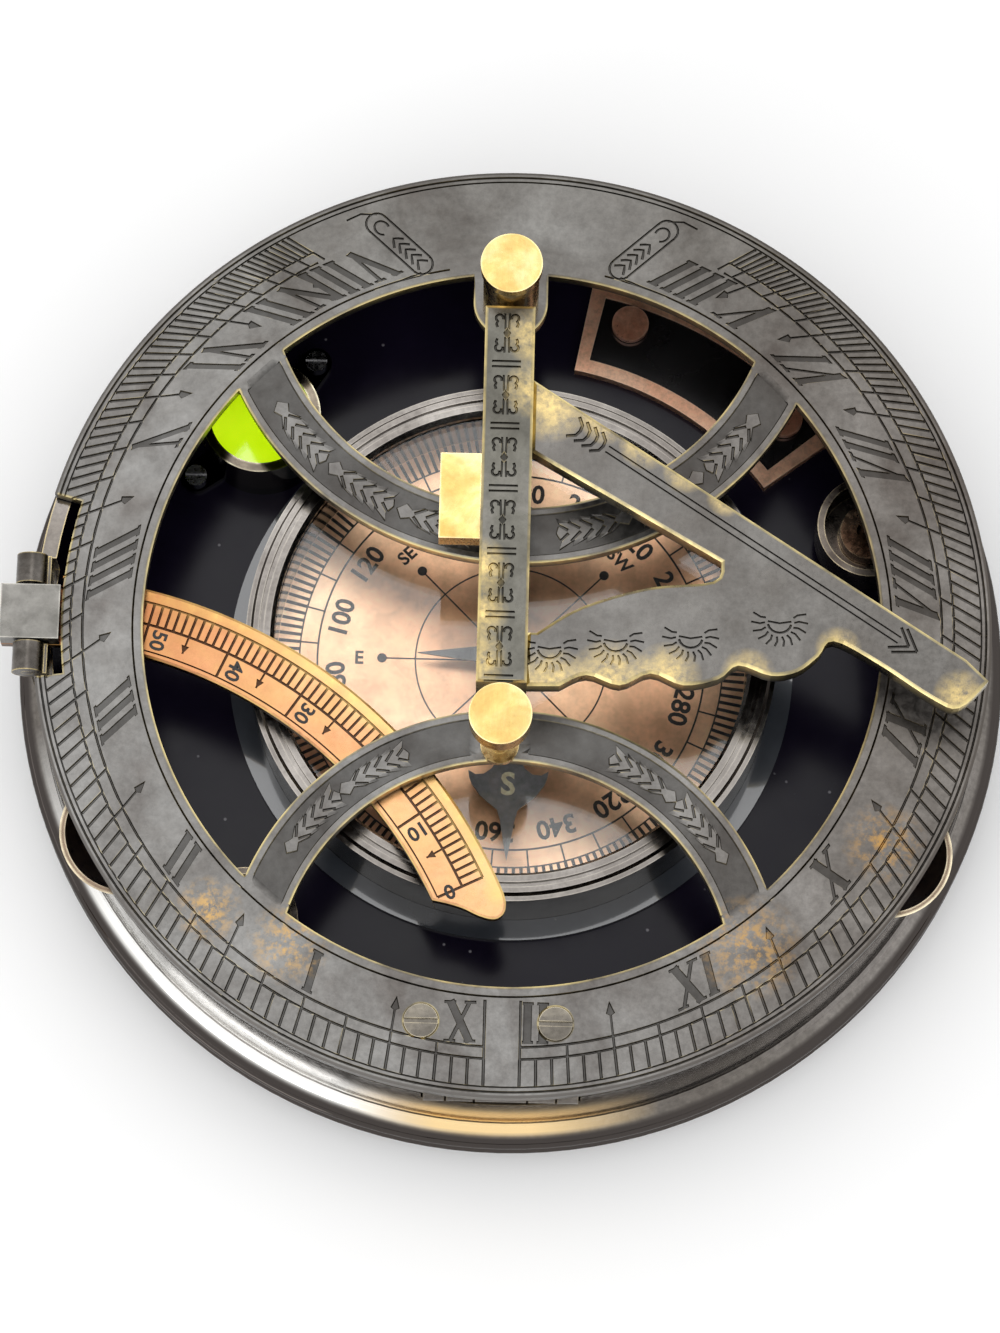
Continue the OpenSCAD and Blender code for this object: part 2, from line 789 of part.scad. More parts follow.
module arch_band(radius, y, width) {
  translate([0, y]) difference() {
    circle(radius + width / 2);
    circle(radius - width / 2);
  }
}

module lobe_shape() {
  translate([axis_x, lobe_y]) circle(lobe_w / 2);
  translate([axis_x - lobe_w / 2, lobe_y]) square([lobe_w, ring_root_r - lobe_y]);
}

module ring_outline() {
  difference() {
    union() {
      difference() {
        circle(case_r);
        circle(ring_in_r);
      }
      intersection() {
        circle(ring_root_r);
        union() {
          arch_band(upper_arch_r, upper_arch_y, upper_arch_w);
          arch_band(lower_arch_r, lower_arch_y, lower_arch_w);
          lobe_shape();
        }
      }
    }
    ring_piece(case_r + 1, case_r - edge_notch, notch_from, notch_to);
    translate([axis_x, south_y]) circle(post_screw_r + seat_fit);
    translate([axis_x, -north_y]) circle(post_screw_r + seat_fit);
    for (x = leaf_screw_xs) translate([x, leaf_screw_y]) circle(leaf_screw_r + seat_fit);
  }
}

module arch_channels() {
  intersection() {
    circle(ring_in_r - border_w);
    difference() {
      union() {
        arch_band(upper_arch_r, upper_arch_y, upper_arch_w - 2 * border_w);
        arch_band(lower_arch_r, lower_arch_y, lower_arch_w - 2 * border_w);
      }
      translate([axis_x, -north_y]) circle(head_r);
    }
  }
}

module hour_ring() {
  color([0.45, 0.43, 0.42]) difference() {
    translate([0, 0, ring_z]) linear_extrude(ring_t) ring_outline();
    translate([0, 0, ring_top - channel_d]) linear_extrude(ring_t) arch_channels();
    for (x = leaf_screw_xs) translate([x, leaf_screw_y, 0])
      disc(leaf_head_r + seat_fit, ring_top - leaf_head_t, ring_top + 1);
  }
}

// Posts

module pivot_line(r, from_y, to_y) {
  translate([axis_x, to_y, pivot_z]) rotate([90, 0, 0]) cylinder(r = r, h = to_y - from_y);
}

module south_post() {
  color([0.5, 0.42, 0.3]) difference() {
    translate([axis_x, south_y]) union() {
      disc(south_r, ring_top, post_z - south_head_t);
      disc(post_screw_r, ring_z, ring_top);
      disc(neck_r, post_z - south_head_t, post_z - south_head_t / 2);
    }
    pivot_line(pivot_r + run_fit, south_y - south_r - 1, south_y - south_r + pivot_len);
  }
}

module south_head() {
  color([1, 0.85, 0.43]) translate([axis_x, south_y]) difference() {
    disc(head_r, post_z - south_head_t, post_z);
    disc(neck_r + seat_fit, post_z - south_head_t - 1, post_z - south_head_t / 2);
  }
}

module north_post() {
  stem_top = post_z - north_head_t;
  color([0.5, 0.42, 0.3]) difference() {
    translate([axis_x, -north_y]) union() {
      disc(post_screw_r, ring_z, ring_top);
      disc(north_foot_r, ring_top, ring_top + north_foot_t);
      disc(north_stem_r, ring_top + north_foot_t, stem_top);
      disc(north_r, pivot_z - collar_below, pivot_z + collar_above);
      disc(neck_r, stem_top, post_z - north_head_t / 2);
    }
    pivot_line(pivot_r + run_fit, -north_y - 2 * north_r, -north_y + 2 * north_r);
  }
}

module north_head() {
  color([1, 0.85, 0.43]) translate([axis_x, -north_y]) difference() {
    disc(head_r, post_z - north_head_t, post_z);
    disc(neck_r + seat_fit, post_z - north_head_t - 1, post_z - north_head_t / 2);
  }
}

// Gnomon, folded flat to the right of its pivot line

module gnomon_bar() {
  color([0.5, 0.46, 0.42]) difference() {
    translate([axis_x - bar_w / 2, bar_north, pivot_z - bar_h / 2])
      cube([bar_w, bar_south - bar_north, bar_h]);
    pivot_line(pivot_r + seat_fit, bar_north - 1, bar_north + pivot_len);
    pivot_line(pivot_r + seat_fit, bar_south - pivot_len, bar_south + 1);
  }
}

module gnomon_plate() {
  tip = on_gnomon([style_tip]);
  lower = smooth(on_gnomon(lower_edge));
  inner = smooth(on_gnomon(inner_edge));
  color([0.62, 0.6, 0.56]) translate([axis_x, 0, pivot_z - plate_t / 2]) linear_extrude(plate_t)
    difference() {
      polygon(concat([style_top], tip, lower, [[edge_x, bar_north]]));
      polygon(concat([style_top - [0, style_w]], inner, [[edge_x, inner[len(inner) - 1][1]]]));
    }
}

module gnomon_stop() {
  color("gold") translate([axis_x - stop_reach, stop_y - tab_w / 2, pivot_z - stop_t / 2])
    cube([stop_reach - bar_w / 2, tab_w, stop_t]);
}

module gnomon_pivots() {
  color("goldenrod") union() {
    pivot_line(pivot_r, -north_y - north_r, bar_north + pivot_len);
    pivot_line(pivot_r, bar_south - pivot_len, south_y - south_r + pivot_len - gap);
  }
}

// Latitude arc, folded under the ring

module arc_pin_line(r, from_y, to_y) {
  translate([-arc_axis_r, to_y, arc_axis_z]) rotate([90, 0, 0]) cylinder(r = r, h = to_y - from_y);
}

module arc_outline() {
  tip = polar(arc_mid_r, arc_tip_angle);
  translate([-arc_axis_r, -case_r]) union() {
    intersection() {
      ring_piece(arc_out_r, arc_in_r, arc_tip_angle, 90);
      translate([root_in, 0]) square(2 * arc_out_r);
    }
    translate(tip) circle(arc_w / 2);
    translate([-root_out, case_r - root_w / 2]) square([root_out + 1.5 * root_in, root_w]);
  }
}

module latitude_arc() {
  color([0.88, 0.6, 0.36]) translate([0, 0, arc_z]) linear_extrude(arc_t) arc_outline();
}

module arc_root_block() {
  color([0.8, 0.78, 0.72]) difference() {
    translate([-arc_axis_r - root_out, -root_w / 2, root_z])
      cube([root_out + root_in, root_w, root_top - root_z]);
    arc_pin_line(arc_pin_r + run_fit, -root_w, root_w);
  }
}

module arc_hinge_bracket() {
  ear_from = root_w / 2 + gap;
  color("dimgray") difference() {
    union() {
      translate([-case_r, -bracket_half, bracket_top - bracket_t])
        cube([wall_t, 2 * bracket_half, bracket_t]);
      for (s = [0, 1]) mirror([0, s, 0]) {
        arc_pin_line(knuckle_r, ear_from, bracket_half);
        translate([-case_r, ear_from, bracket_top]) cube([wall_t, knuckle_len, arc_axis_z - bracket_top]);
      }
    }
    arc_pin_line(arc_pin_r + seat_fit, -bracket_half - 1, bracket_half + 1);
  }
}

module arc_hinge_pin() {
  color("gray") arc_pin_line(arc_pin_r, -bracket_half, bracket_half);
}

case_shell();
floor_plate();
floor_screws();
notch_lips();
compass_seat();
compass_cup();
compass_dial();
dial_pivot_pin();
glass_seat_ring();
compass_glass();
compass_bezel();
needle_pointer();
needle_magnet();
needle_cap();
level_cup();
level_liquid();
level_glass();
level_screws();
name_plate();
plate_field();
plate_rivets();
leveling_bosses();
fixed_foot();
leveling_screw_right();
leveling_screw_front();
case_hinge_leaf();
case_leaf_screws();
ring_hinge_pin();
ring_hinge_leaf();
ring_leaf_screws();
hour_ring();
south_post();
north_post();
south_head();
north_head();
gnomon_bar();
gnomon_plate();
gnomon_stop();
gnomon_pivots();
arc_hinge_bracket();
arc_hinge_pin();
latitude_arc();
arc_root_block();
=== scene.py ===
import math
import bmesh
import bpy
import numpy as np
from mathutils import Matrix, Vector
from mathutils.geometry import delaunay_2d_cdt


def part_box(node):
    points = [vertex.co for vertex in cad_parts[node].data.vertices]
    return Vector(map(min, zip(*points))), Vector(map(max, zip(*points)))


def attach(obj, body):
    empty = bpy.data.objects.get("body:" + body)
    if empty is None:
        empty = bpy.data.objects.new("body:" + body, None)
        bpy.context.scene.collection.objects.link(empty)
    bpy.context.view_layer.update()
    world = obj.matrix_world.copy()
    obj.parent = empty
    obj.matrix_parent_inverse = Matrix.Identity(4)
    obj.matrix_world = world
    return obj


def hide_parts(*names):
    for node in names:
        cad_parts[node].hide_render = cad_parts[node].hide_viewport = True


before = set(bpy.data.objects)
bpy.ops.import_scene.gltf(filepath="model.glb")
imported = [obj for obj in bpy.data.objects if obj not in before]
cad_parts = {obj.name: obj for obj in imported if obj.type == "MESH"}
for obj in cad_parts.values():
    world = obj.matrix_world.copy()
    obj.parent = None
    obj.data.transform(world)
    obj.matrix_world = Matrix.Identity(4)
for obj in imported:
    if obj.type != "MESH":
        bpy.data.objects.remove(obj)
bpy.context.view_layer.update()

# Case
# The case is one turned brass casting, wall, cove and reeded foot flange in one, darkened by an
# antique bronze bath. A white highlight and a golden highlight are painted into its cove's colour at the
# front, and its rim is scooped for two fingers.

MM = 0.001


def feed(tree, node, inputs):
    """Gives each named input of a node its plain value, or links it to the socket that is its value."""
    for key, value in inputs.items():
        if isinstance(value, bpy.types.NodeSocket):
            tree.links.new(value, node.inputs[key])
        else:
            node.inputs[key].default_value = value


def add(tree, kind, inputs=None, **settings):
    """Adds a shader node with its settings, such as its operation, and its inputs."""
    made = tree.nodes.new("ShaderNode" + kind)
    for key, value in settings.items():
        setattr(made, key, value)
    feed(tree, made, inputs or {})
    return made


def blank(name):
    """A new material, its node tree, its shader and the coordinates of the object that wears it."""
    made = bpy.data.materials.new(name)
    made.use_nodes = True
    tree = made.node_tree
    return made, tree, tree.nodes["Principled BSDF"], add(tree, "TexCoord").outputs["Object"]


def noise(tree, place, scale, detail, rough=0.6, warp=0):
    """Cloudy noise from 0 to 1, with scale in features per metre."""
    return add(tree, "TexNoise", {"Vector": place, "Scale": scale, "Detail": detail,
                                  "Roughness": rough, "Distortion": warp}).outputs["Fac"]


def ramp(tree, value, *stops):
    """A colour ramp through stops of (place, colour)."""
    made = add(tree, "ValToRGB", {"Fac": value})
    strip = made.color_ramp
    while len(strip.elements) < len(stops):
        strip.elements.new(0.5)
    for element, (at, colour) in zip(strip.elements, stops):
        element.position = at
        element.color = (*colour, 1)
    return made.outputs["Color"]


def span(tree, value, low, high, to_low=0, to_high=1):
    """Stretches value from low..high to to_low..to_high, held at the ends."""
    return add(tree, "MapRange", {"Value": value, "From Min": low, "From Max": high,
                                  "To Min": to_low, "To Max": to_high}).outputs["Result"]


def times(tree, a, b, operation="MULTIPLY"):
    """a times b, or another operation on the two."""
    return add(tree, "Math", {0: a, 1: b}, operation=operation).outputs[0]


def blend(tree, share, a, b, kind="MIX"):
    """Colour a covered by colour b by the given share."""
    return add(tree, "MixRGB", {"Fac": share, "Color1": a, "Color2": b}, blend_type=kind).outputs["Color"]


def bumps(tree, height, strength, reach):
    """The normal of a surface that a height from 0 to 1 lifts by up to reach, in millimetres."""
    return add(tree, "Bump", {"Height": height, "Strength": strength, "Distance": reach * MM}).outputs[0]


def worn_edges(tree, radius):
    """0 on flat metal and 1 where the surface turns within the radius: one minus the dot product of the
    rounded normal and the true one."""
    soft = add(tree, "Bevel", {"Radius": radius}, samples=6).outputs["Normal"]
    true = add(tree, "NewGeometry").outputs["Normal"]
    dot = add(tree, "VectorMath", {0: soft, 1: true}, operation="DOT_PRODUCT").outputs["Value"]
    flat_dot, worn_dot = 0.985, 0.86
    return span(tree, dot, flat_dot, worn_dot)


def metal(name, tones, edge, rough, patch=75, grain=1100, wear=0.8, edge_radius=0.35, bump=0.12,
          stretch=(1, 1, 1), relief_top=None, patina=0.7, metallic=1.0, spots=(),
          spot_tone=(0.5, 0.26, 0.08), spot_fleck=(0.52, 0.62)):
    """A metal with wear: three tones in cloudy patches, a fine grain and bright rubbed edges. patch and grain
    are in features per metre, and rough holds the least and the most roughness. On a relief, whose top is
    given in millimetres, patina deepens below that height, and the bright edges come from the mesh's own
    edge attribute, which holds both wear on the rims and a painted highlight on the heads of engraved
    slopes. Each spot (x, y, reach) is a patch of wear on its upper side."""
    fleck_scale, rub_scale, mottle_ratio = 620, 160, 2.6
    made, tree, shader, place = blank(name)
    long_place = add(tree, "Mapping", {"Vector": place, "Scale": stretch}).outputs["Vector"]
    cloud = noise(tree, place, patch, 7, 0.62, 0.4)
    dust = noise(tree, long_place, grain, 3, 0.7)
    colour = ramp(tree, cloud, (0.3, tones[0]), (0.5, tones[1]), (0.72, tones[2]))
    shade = span(tree, dust, 0.35, 0.65, 0.78, 1.12)
    shade = add(tree, "CombineColor", {0: shade, 1: shade, 2: shade}).outputs["Color"]
    colour = blend(tree, 1.0, colour, shade, "MULTIPLY")
    if relief_top is None:
        rim = worn_edges(tree, edge_radius * MM)
    else:
        patina_top, patina_full, patina_black = relief_top - 0.05, relief_top - 0.28, (0.014, 0.013, 0.012, 1)
        height = add(tree, "SeparateXYZ", {"Vector": place}).outputs["Z"]
        sunk = span(tree, height, patina_top * MM, patina_full * MM)
        colour = blend(tree, times(tree, sunk, patina), colour, patina_black)
        rim = add(tree, "Attribute", attribute_name="edge").outputs["Fac"]
    for x, y, reach in spots:
        spot_low, spot_high = relief_top - 2.2, relief_top - 1.4
        middle = (x * MM, y * MM, relief_top * MM)
        away = add(tree, "VectorMath", {0: place, 1: middle}, operation="DISTANCE").outputs["Value"]
        upper = span(tree, height, spot_low * MM, spot_high * MM)
        near = times(tree, span(tree, away, reach * MM, 0), upper)
        fleck = span(tree, noise(tree, place, fleck_scale, 5, 0.75), *spot_fleck)
        colour = blend(tree, times(tree, near, fleck), colour, (*spot_tone, 1))
    # On a relief this also carries the painted highlight on the heads of the engraved slopes.
    rub_and_highlight = times(tree, rim, span(tree, noise(tree, place, rub_scale, 4), 0.34, 0.6, 0.15, 1))
    mottle = noise(tree, place, patch * mottle_ratio, 5, 0.6)
    grit = times(tree, dust, times(tree, mottle, 1.5), "ADD")
    feed(tree, shader, {"Base Color": blend(tree, times(tree, rub_and_highlight, wear), colour, (*edge, 1)),
                        "Metallic": metallic,
                        "Roughness": span(tree, times(tree, mottle, dust, "ADD"), 0.75, 1.25, *rough),
                        "Normal": bumps(tree, grit, bump, 0.05)})
    return made


def dress(material, *nodes):
    """Gives CAD nodes a finish in place of their plain one."""
    for node in nodes:
        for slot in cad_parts[node].material_slots:
            slot.material = material


def zone(tree, axis, low, high):
    """A mask from 0 at low to 1 at high, both in millimetres, along an axis of the object, or outwards from
    its middle for the axis R."""
    place = add(tree, "TexCoord").outputs["Object"]
    if axis == "R":
        flat = add(tree, "VectorMath", {0: place, 1: (1, 1, 0)}, operation="MULTIPLY").outputs[0]
        along = add(tree, "VectorMath", {0: flat}, operation="LENGTH").outputs["Value"]
    else:
        along = add(tree, "SeparateXYZ", {"Vector": place}).outputs[axis]
    return span(tree, along, low * MM, high * MM)


def overlay(material, masks, colour, kind="MIX"):
    """Covers a finish with another colour, or tints it, where all the masks, each (axis, low, high), are
    full."""
    tree = material.node_tree
    base = tree.nodes["Principled BSDF"].inputs["Base Color"]
    share = 1.0
    for mask in masks:
        share = times(tree, share, zone(tree, *mask))
    tree.links.new(blend(tree, share, base.links[0].from_socket, (*colour, 1), kind), base)


BRASS = (0.86, 0.68, 0.30)
case_bronze = metal("case_bronze", ((0.1, 0.085, 0.075), (0.16, 0.145, 0.13), (0.26, 0.24, 0.225)), BRASS,
                    (0.07, 0.18), patch=30, wear=0.5, bump=0.03)
cove = (("Z", 9.05, 9.4), ("Z", 18, 11.5))
white_highlight_place = (("Y", -10, -35), ("X", -4, -16))
gold_highlight_place = (("Y", -35, -50), ("X", -20, -8), ("X", 20, 4))
# Painted highlights: a white streak at the front left of the cove and a golden band at its front middle.
overlay(case_bronze, cove + white_highlight_place, (0.95, 0.94, 0.91))
overlay(case_bronze, cove + gold_highlight_place, (0.9, 0.66, 0.34))
overlay(case_bronze, (("Z", 9.25, 9.05),), (0.06, 0.052, 0.048))
dress(case_bronze, "case_shell")

# Finger scoops
# Each scoop is lined with a thin brass lip, spun as a cone and soldered into the wall. Fingers have
# rubbed its edge bright, and its inside is brown with age.

scoop_brass = metal("scoop_brass", ((0.13, 0.085, 0.06), (0.2, 0.14, 0.1), (0.3, 0.22, 0.15)),
                    (0.95, 0.84, 0.6), (0.25, 0.42), wear=1, edge_radius=0.6)
dress(scoop_brass, "notch_lips")

# Floor
# A brass disc under a thick coat of black lacquer, held from below by three screws. Dust and fine
# scratches lie in the gloss.


def lacquer(name, base, fleck, rough, coat=1.0, ior=1.5):
    """A deep glossy paint with a faint haze of rubbing, and pale specks of dust that lie in patches."""
    made, tree, shader, place = blank(name)
    haze_scale, speck_scale, patch_scale, haze_gain = 55, 520.0, 230, 2.2
    haze = noise(tree, place, haze_scale, 5)
    colour = ramp(tree, haze, (0.3, base), (0.75, tuple(c * haze_gain for c in base)))
    cells = add(tree, "TexVoronoi", {"Vector": place, "Scale": speck_scale}).outputs["Distance"]
    patches = noise(tree, place, patch_scale, 2)
    dust = times(tree, span(tree, cells, 0.13, 0.06), span(tree, patches, 0.6, 0.66))
    feed(tree, shader, {"Base Color": blend(tree, dust, colour, (*fleck, 1)), "IOR": ior,
                        "Roughness": span(tree, haze, 0.3, 0.7, *rough),
                        "Coat Weight": coat, "Coat Roughness": 0.05, "Coat IOR": 1.7,
                        "Normal": bumps(tree, haze, 0.06, 0.1)})
    return made


floor_lacquer = lacquer("floor_lacquer", (0.005, 0.0035, 0.01), (0.28, 0.27, 0.3), (0.1, 0.24), 0, 1.27)
dress(floor_lacquer, "floor_plate")
steel = metal("screw_steel", ((0.3, 0.29, 0.27), (0.42, 0.4, 0.37), (0.6, 0.57, 0.52)), (0.85, 0.8, 0.7),
              (0.2, 0.4), patch=240, edge_radius=0.2)
dress(steel, "floor_screws")

# Feet and levelling screws
# Two cups on bosses each hold a levelling screw with a thumb disc under the case, and a fixed foot
# stands under the spirit level. All are turned from brass rod and darkened.

foot_bronze = metal("foot_bronze", ((0.07, 0.055, 0.045), (0.12, 0.1, 0.085), (0.22, 0.19, 0.16)),
                    (0.75, 0.62, 0.4), (0.2, 0.38), patch=150, edge_radius=0.3)
dress(foot_bronze, "leveling_bosses", "fixed_foot")
screw_bronze = metal("leveling_screw_bronze", ((0.2, 0.1, 0.06), (0.36, 0.22, 0.14), (0.58, 0.44, 0.32)),
                     (0.8, 0.66, 0.42), (0.18, 0.34), patch=180, edge_radius=0.3)
dress(screw_bronze, "leveling_screw_right", "leveling_screw_front")

# Compass housing
# A black ring seats the turned cup on the floor. The cup and its stepped bezel are brass under a dark
# nickel plate, and a flat glass lies on a spacer under the bezel.

seat_black = lacquer("seat_black", (0.03, 0.034, 0.042), (0.3, 0.3, 0.3), (0.12, 0.26))
dress(seat_black, "compass_seat")
dark_nickel = metal("dark_nickel", ((0.1, 0.088, 0.08), (0.18, 0.165, 0.152), (0.3, 0.28, 0.26)),
                    (0.5, 0.46, 0.4), (0.12, 0.26), patch=60, wear=0.4, bump=0.03)
dress(dark_nickel, "compass_cup", "compass_bezel", "glass_seat_ring")


def clear_glass(name):
    """A thin pane: it draws only the share that a clean surface mirrors, and lets the rest by."""
    made, tree, shader, place = blank(name)
    smear = noise(tree, place, 90, 4)
    mirror = add(tree, "Fresnel", {"IOR": 1.45}).outputs[0]
    feed(tree, shader, {"Base Color": (0.95, 0.97, 0.98, 1), "Metallic": 1.0,
                        "Alpha": times(tree, mirror, span(tree, smear, 0.3, 0.7, 0.93, 1.05)),
                        "Roughness": span(tree, smear, 0.4, 0.7, 0.02, 0.05)})
    return made


pane = clear_glass("clear_glass")
dress(pane, "compass_glass")

# Compass card
# A copper disc with a degree ring, rose lines and figures in black. The marks are printed, and stand a
# few hundredths of a millimetre proud of the copper. North is at the bottom, and the degree ring stands
# four degrees off the rose.


def place_mesh(name, points, faces, material, body, nodes=(), edge=None):
    """Puts points worked out in millimetres and their faces into a mesh in metres, which rides on its body
    and stands for its CAD nodes. edge is one number per face corner: how much of the bright wear colour the
    metal shows there, as wear on rims and as a painted highlight on the heads of engraved slopes."""
    mesh = bpy.data.meshes.new(name)
    mesh.from_pydata((np.asarray(points) * MM).tolist(), [], faces)
    if edge is not None:
        wear_and_highlight = mesh.attributes.new("edge", "FLOAT", "CORNER")
        wear_and_highlight.data.foreach_set("value", np.asarray(edge, dtype=np.float32))
    mesh.validate()
    mesh.shade_flat()
    piece = bpy.data.objects.new(name, mesh)
    bpy.context.scene.collection.objects.link(piece)
    mesh.materials.append(material)
    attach(piece, body)
    if nodes:
        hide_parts(*nodes)
    return piece


def inset(outline, depth):
    """Moves every side of an outline inwards by depth: each corner goes along the sum of its two sides'
    normals, divided by one plus their dot product."""
    side = np.roll(outline, -1, axis=0) - outline
    side /= np.linalg.norm(side, axis=1, keepdims=True)
    normal = np.stack([-side[:, 1], side[:, 0]], axis=1)
    before = np.roll(normal, 1, axis=0)
    share = 1 + np.sum(normal * before, axis=1, keepdims=True)
    return outline + depth * (normal + before) / np.maximum(share, 0.25)


def wound(outline):
    """The outline in anticlockwise order, which its signed area tells."""
    x, y = outline[:, 0], outline[:, 1]
    area = np.sum(x * np.roll(y, -1) - y * np.roll(x, -1))
    return outline if area > 0 else outline[::-1]


def round_points(angles):
    """Points of the unit circle at angles in radians."""
    return np.column_stack([np.cos(angles), np.sin(angles)])


def turned(points, degrees):
    """Points turned about the middle by an angle in degrees."""
    c, s = math.cos(math.radians(degrees)), math.sin(math.radians(degrees))
    return np.column_stack([points[:, 0] * c - points[:, 1] * s, points[:, 0] * s + points[:, 1] * c])


def arc_strip(centre, inner, outer, start, stop, step=1.5):
    """A band between two radii and two angles in degrees, as one outline."""
    ring = round_points(np.radians(np.linspace(start, stop, max(3, int(abs(stop - start) / step) + 1))))
    return wound(np.concatenate([ring * outer, ring[::-1] * inner]) + centre)


def bar(start, stop, width):
    """A straight stroke of the given width between two points."""
    start, stop = np.array(start, float), np.array(stop, float)
    along = (stop - start) / np.linalg.norm(stop - start)
    side = np.array([-along[1], along[0]]) * width / 2
    return wound(np.array([start - side, stop - side, stop + side, start + side]))


def disc_outline(centre, radius, count):
    """A circle as a polygon of count sides."""
    return round_points(np.linspace(0, 2 * np.pi, count, endpoint=False)) * radius + centre


def at_angle(radius, degrees):
    """The point at a radius and an angle in degrees."""
    return radius * np.array([math.cos(math.radians(degrees)), math.sin(math.radians(degrees))])


def relief(name, shapes, solid, level, top, bottom, bevel, material, body, nodes=()):
    """A flat plate with sunk and raised figures. The tagged outlines are cut into triangles together. A
    triangle is metal where solid(tags) is true, and lies at the height level(tags) over the top, or on a
    slope where that is None. A point takes the lowest height of the flat triangles round it, so slopes
    join the levels, and points on the plate's rim drop by bevel. The rim gets the full wear colour, and the
    heads of the slopes, less than crest_drop down, get a share of it as a painted highlight."""
    # The second share is a painted highlight on the heads of the slopes.
    crest_drop, crest_highlight = 0.06, 0.3
    points, loops, tags = [], [], []
    for tag, outline in shapes:
        loops.append(list(range(len(points), len(points) + len(outline))))
        points.extend(Vector(p) for p in wound(np.asarray(outline, float)))
        tags.append(tag)
    flat, _, triangles, _, _, sources = delaunay_2d_cdt(points, [], loops, 1, 1e-5, True)
    flat = np.array([tuple(p) for p in flat])
    kinds = [frozenset(tags[i] for i in source) for source in sources]
    kept = [(t, level(kind)) for t, kind in zip(triangles, kinds) if solid(kind) and len(t) == 3]
    corners = np.array([t for t, _ in kept])
    rise = np.array([np.nan if z is None else z for _, z in kept], float)
    height = np.full(len(flat), np.inf)
    even = ~np.isnan(rise)
    np.minimum.at(height, corners[even].ravel(), np.repeat(rise[even], 3))
    height[np.isinf(height)] = 0.0
    edges = np.concatenate([corners[:, [0, 1]], corners[:, [1, 2]], corners[:, [2, 0]]])
    count = len(flat)
    code, reverse = edges[:, 0] * count + edges[:, 1], edges[:, 1] * count + edges[:, 0]
    rim = edges[~np.isin(code, reverse)]
    on_rim = np.zeros(count, bool)
    on_rim[rim.ravel()] = True
    height[on_rim] -= bevel
    upper = np.column_stack([flat, top + height])
    under = np.column_stack([flat, np.full(count, bottom)])
    crest = ~even[:, None] & (height[corners] > -crest_drop)
    # Rims carry full wear, and the heads of the slopes carry a painted highlight in the same bright colour.
    wear_and_highlight = np.where(on_rim[corners], 1.0, np.where(crest, crest_highlight, 0.0))
    faces = corners.tolist() + (corners[:, ::-1] + count).tolist()
    faces += np.column_stack([rim[:, 0], rim[:, 0] + count, rim[:, 1] + count, rim[:, 1]]).tolist()
    edge = np.concatenate([wear_and_highlight.ravel(), np.zeros(corners.size), np.tile([1.0, 0.0, 0.0, 1.0], len(rim))])
    piece = place_mesh(name, np.concatenate([upper, under]), faces, material, body, nodes, edge)
    tidy = bmesh.new()
    tidy.from_mesh(piece.data)
    bmesh.ops.delete(tidy, geom=[v for v in tidy.verts if not v.link_faces], context="VERTS")
    tidy.to_mesh(piece.data)
    tidy.free()


def figures(name, words, top, thick, material, body):
    """Printed figures as one mesh. Each word is (text, x, y, turn in degrees, height), centred on its
    place; it is laid out flat as text, made a mesh, turned, and lifted to the surface. The font's size is
    size_ratio times the height of its figures, and bold thickens the strokes by a share of the height."""
    size_ratio, bold = 1.37, 0.035
    points, faces = [], []
    for text, x, y, turn, size in words:
        curve = bpy.data.curves.new("word", "FONT")
        curve.body = text
        curve.size = size * size_ratio
        curve.offset = size * bold
        curve.align_x = "CENTER"
        curve.extrude = thick / 2
        curve.resolution_u = 3
        lettering = bpy.data.objects.new("word", curve)
        flat = bpy.data.meshes.new_from_object(lettering)
        co = np.empty(len(flat.vertices) * 3)
        flat.vertices.foreach_get("co", co)
        co = co.reshape(-1, 3)
        co[:, :2] -= (co[:, :2].max(axis=0) + co[:, :2].min(axis=0)) / 2
        laid = np.column_stack([turned(co, turn) + [x, y], co[:, 2] + top + thick / 2])
        faces += [[v + len(points) for v in p.vertices] for p in flat.polygons]
        points.extend(laid.tolist())
        bpy.data.objects.remove(lettering)
        bpy.data.curves.remove(curve)
        bpy.data.meshes.remove(flat)
    place_mesh(name, points, faces, material, body)


def box_mm(node):
    """A node's lowest and highest corners in millimetres."""
    low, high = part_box(node)
    return np.array(low) / MM, np.array(high) / MM


def ink(name, colour, rough=0.45):
    """Printed ink, slightly uneven where the copper shows through."""
    made, tree, shader, place = blank(name)
    thin = noise(tree, place, 1500, 3)
    pale = tuple(min(1, c * 1.6 + 0.02) for c in colour)
    feed(tree, shader, {"Base Color": ramp(tree, thin, (0.45, colour), (0.78, pale)),
                        "Roughness": span(tree, thin, 0.3, 0.7, rough - 0.08, rough + 0.1),
                        "Normal": bumps(tree, thin, 0.15, 0.02)})
    return made


card_copper = metal("card_copper", ((0.86, 0.46, 0.26), (0.95, 0.58, 0.35), (1.0, 0.72, 0.48)),
                    (0.9, 0.6, 0.4), (0.29, 0.32), patch=30, grain=300, wear=0.3, bump=0, metallic=0.75)
dress(card_copper, "compass_dial")
card_ink = ink("card_ink", (0.012, 0.01, 0.01))
print_gap = 0.004
card_z = box_mm("compass_dial")[1][2] + print_gap
ink_t = 0.03
ring_line_r, ring_line_w = 24.9, 0.24
band_in_r, band_out_r, band_line_w = 27.2, 30.05, 0.2
degree_tens = (10, ring_line_r, band_in_r, 0.22)
degree_twos = (2, band_in_r, band_out_r, 0.42)
rose_r, rose_dot_r, rose_letter_r = 12.3, 16.6, 19.5
rose_line_w, dot_r = 0.2, 0.62
degree_turn = 4
figure_r, figure_h, rose_letter_h = 22.6, 2.5, 1.75

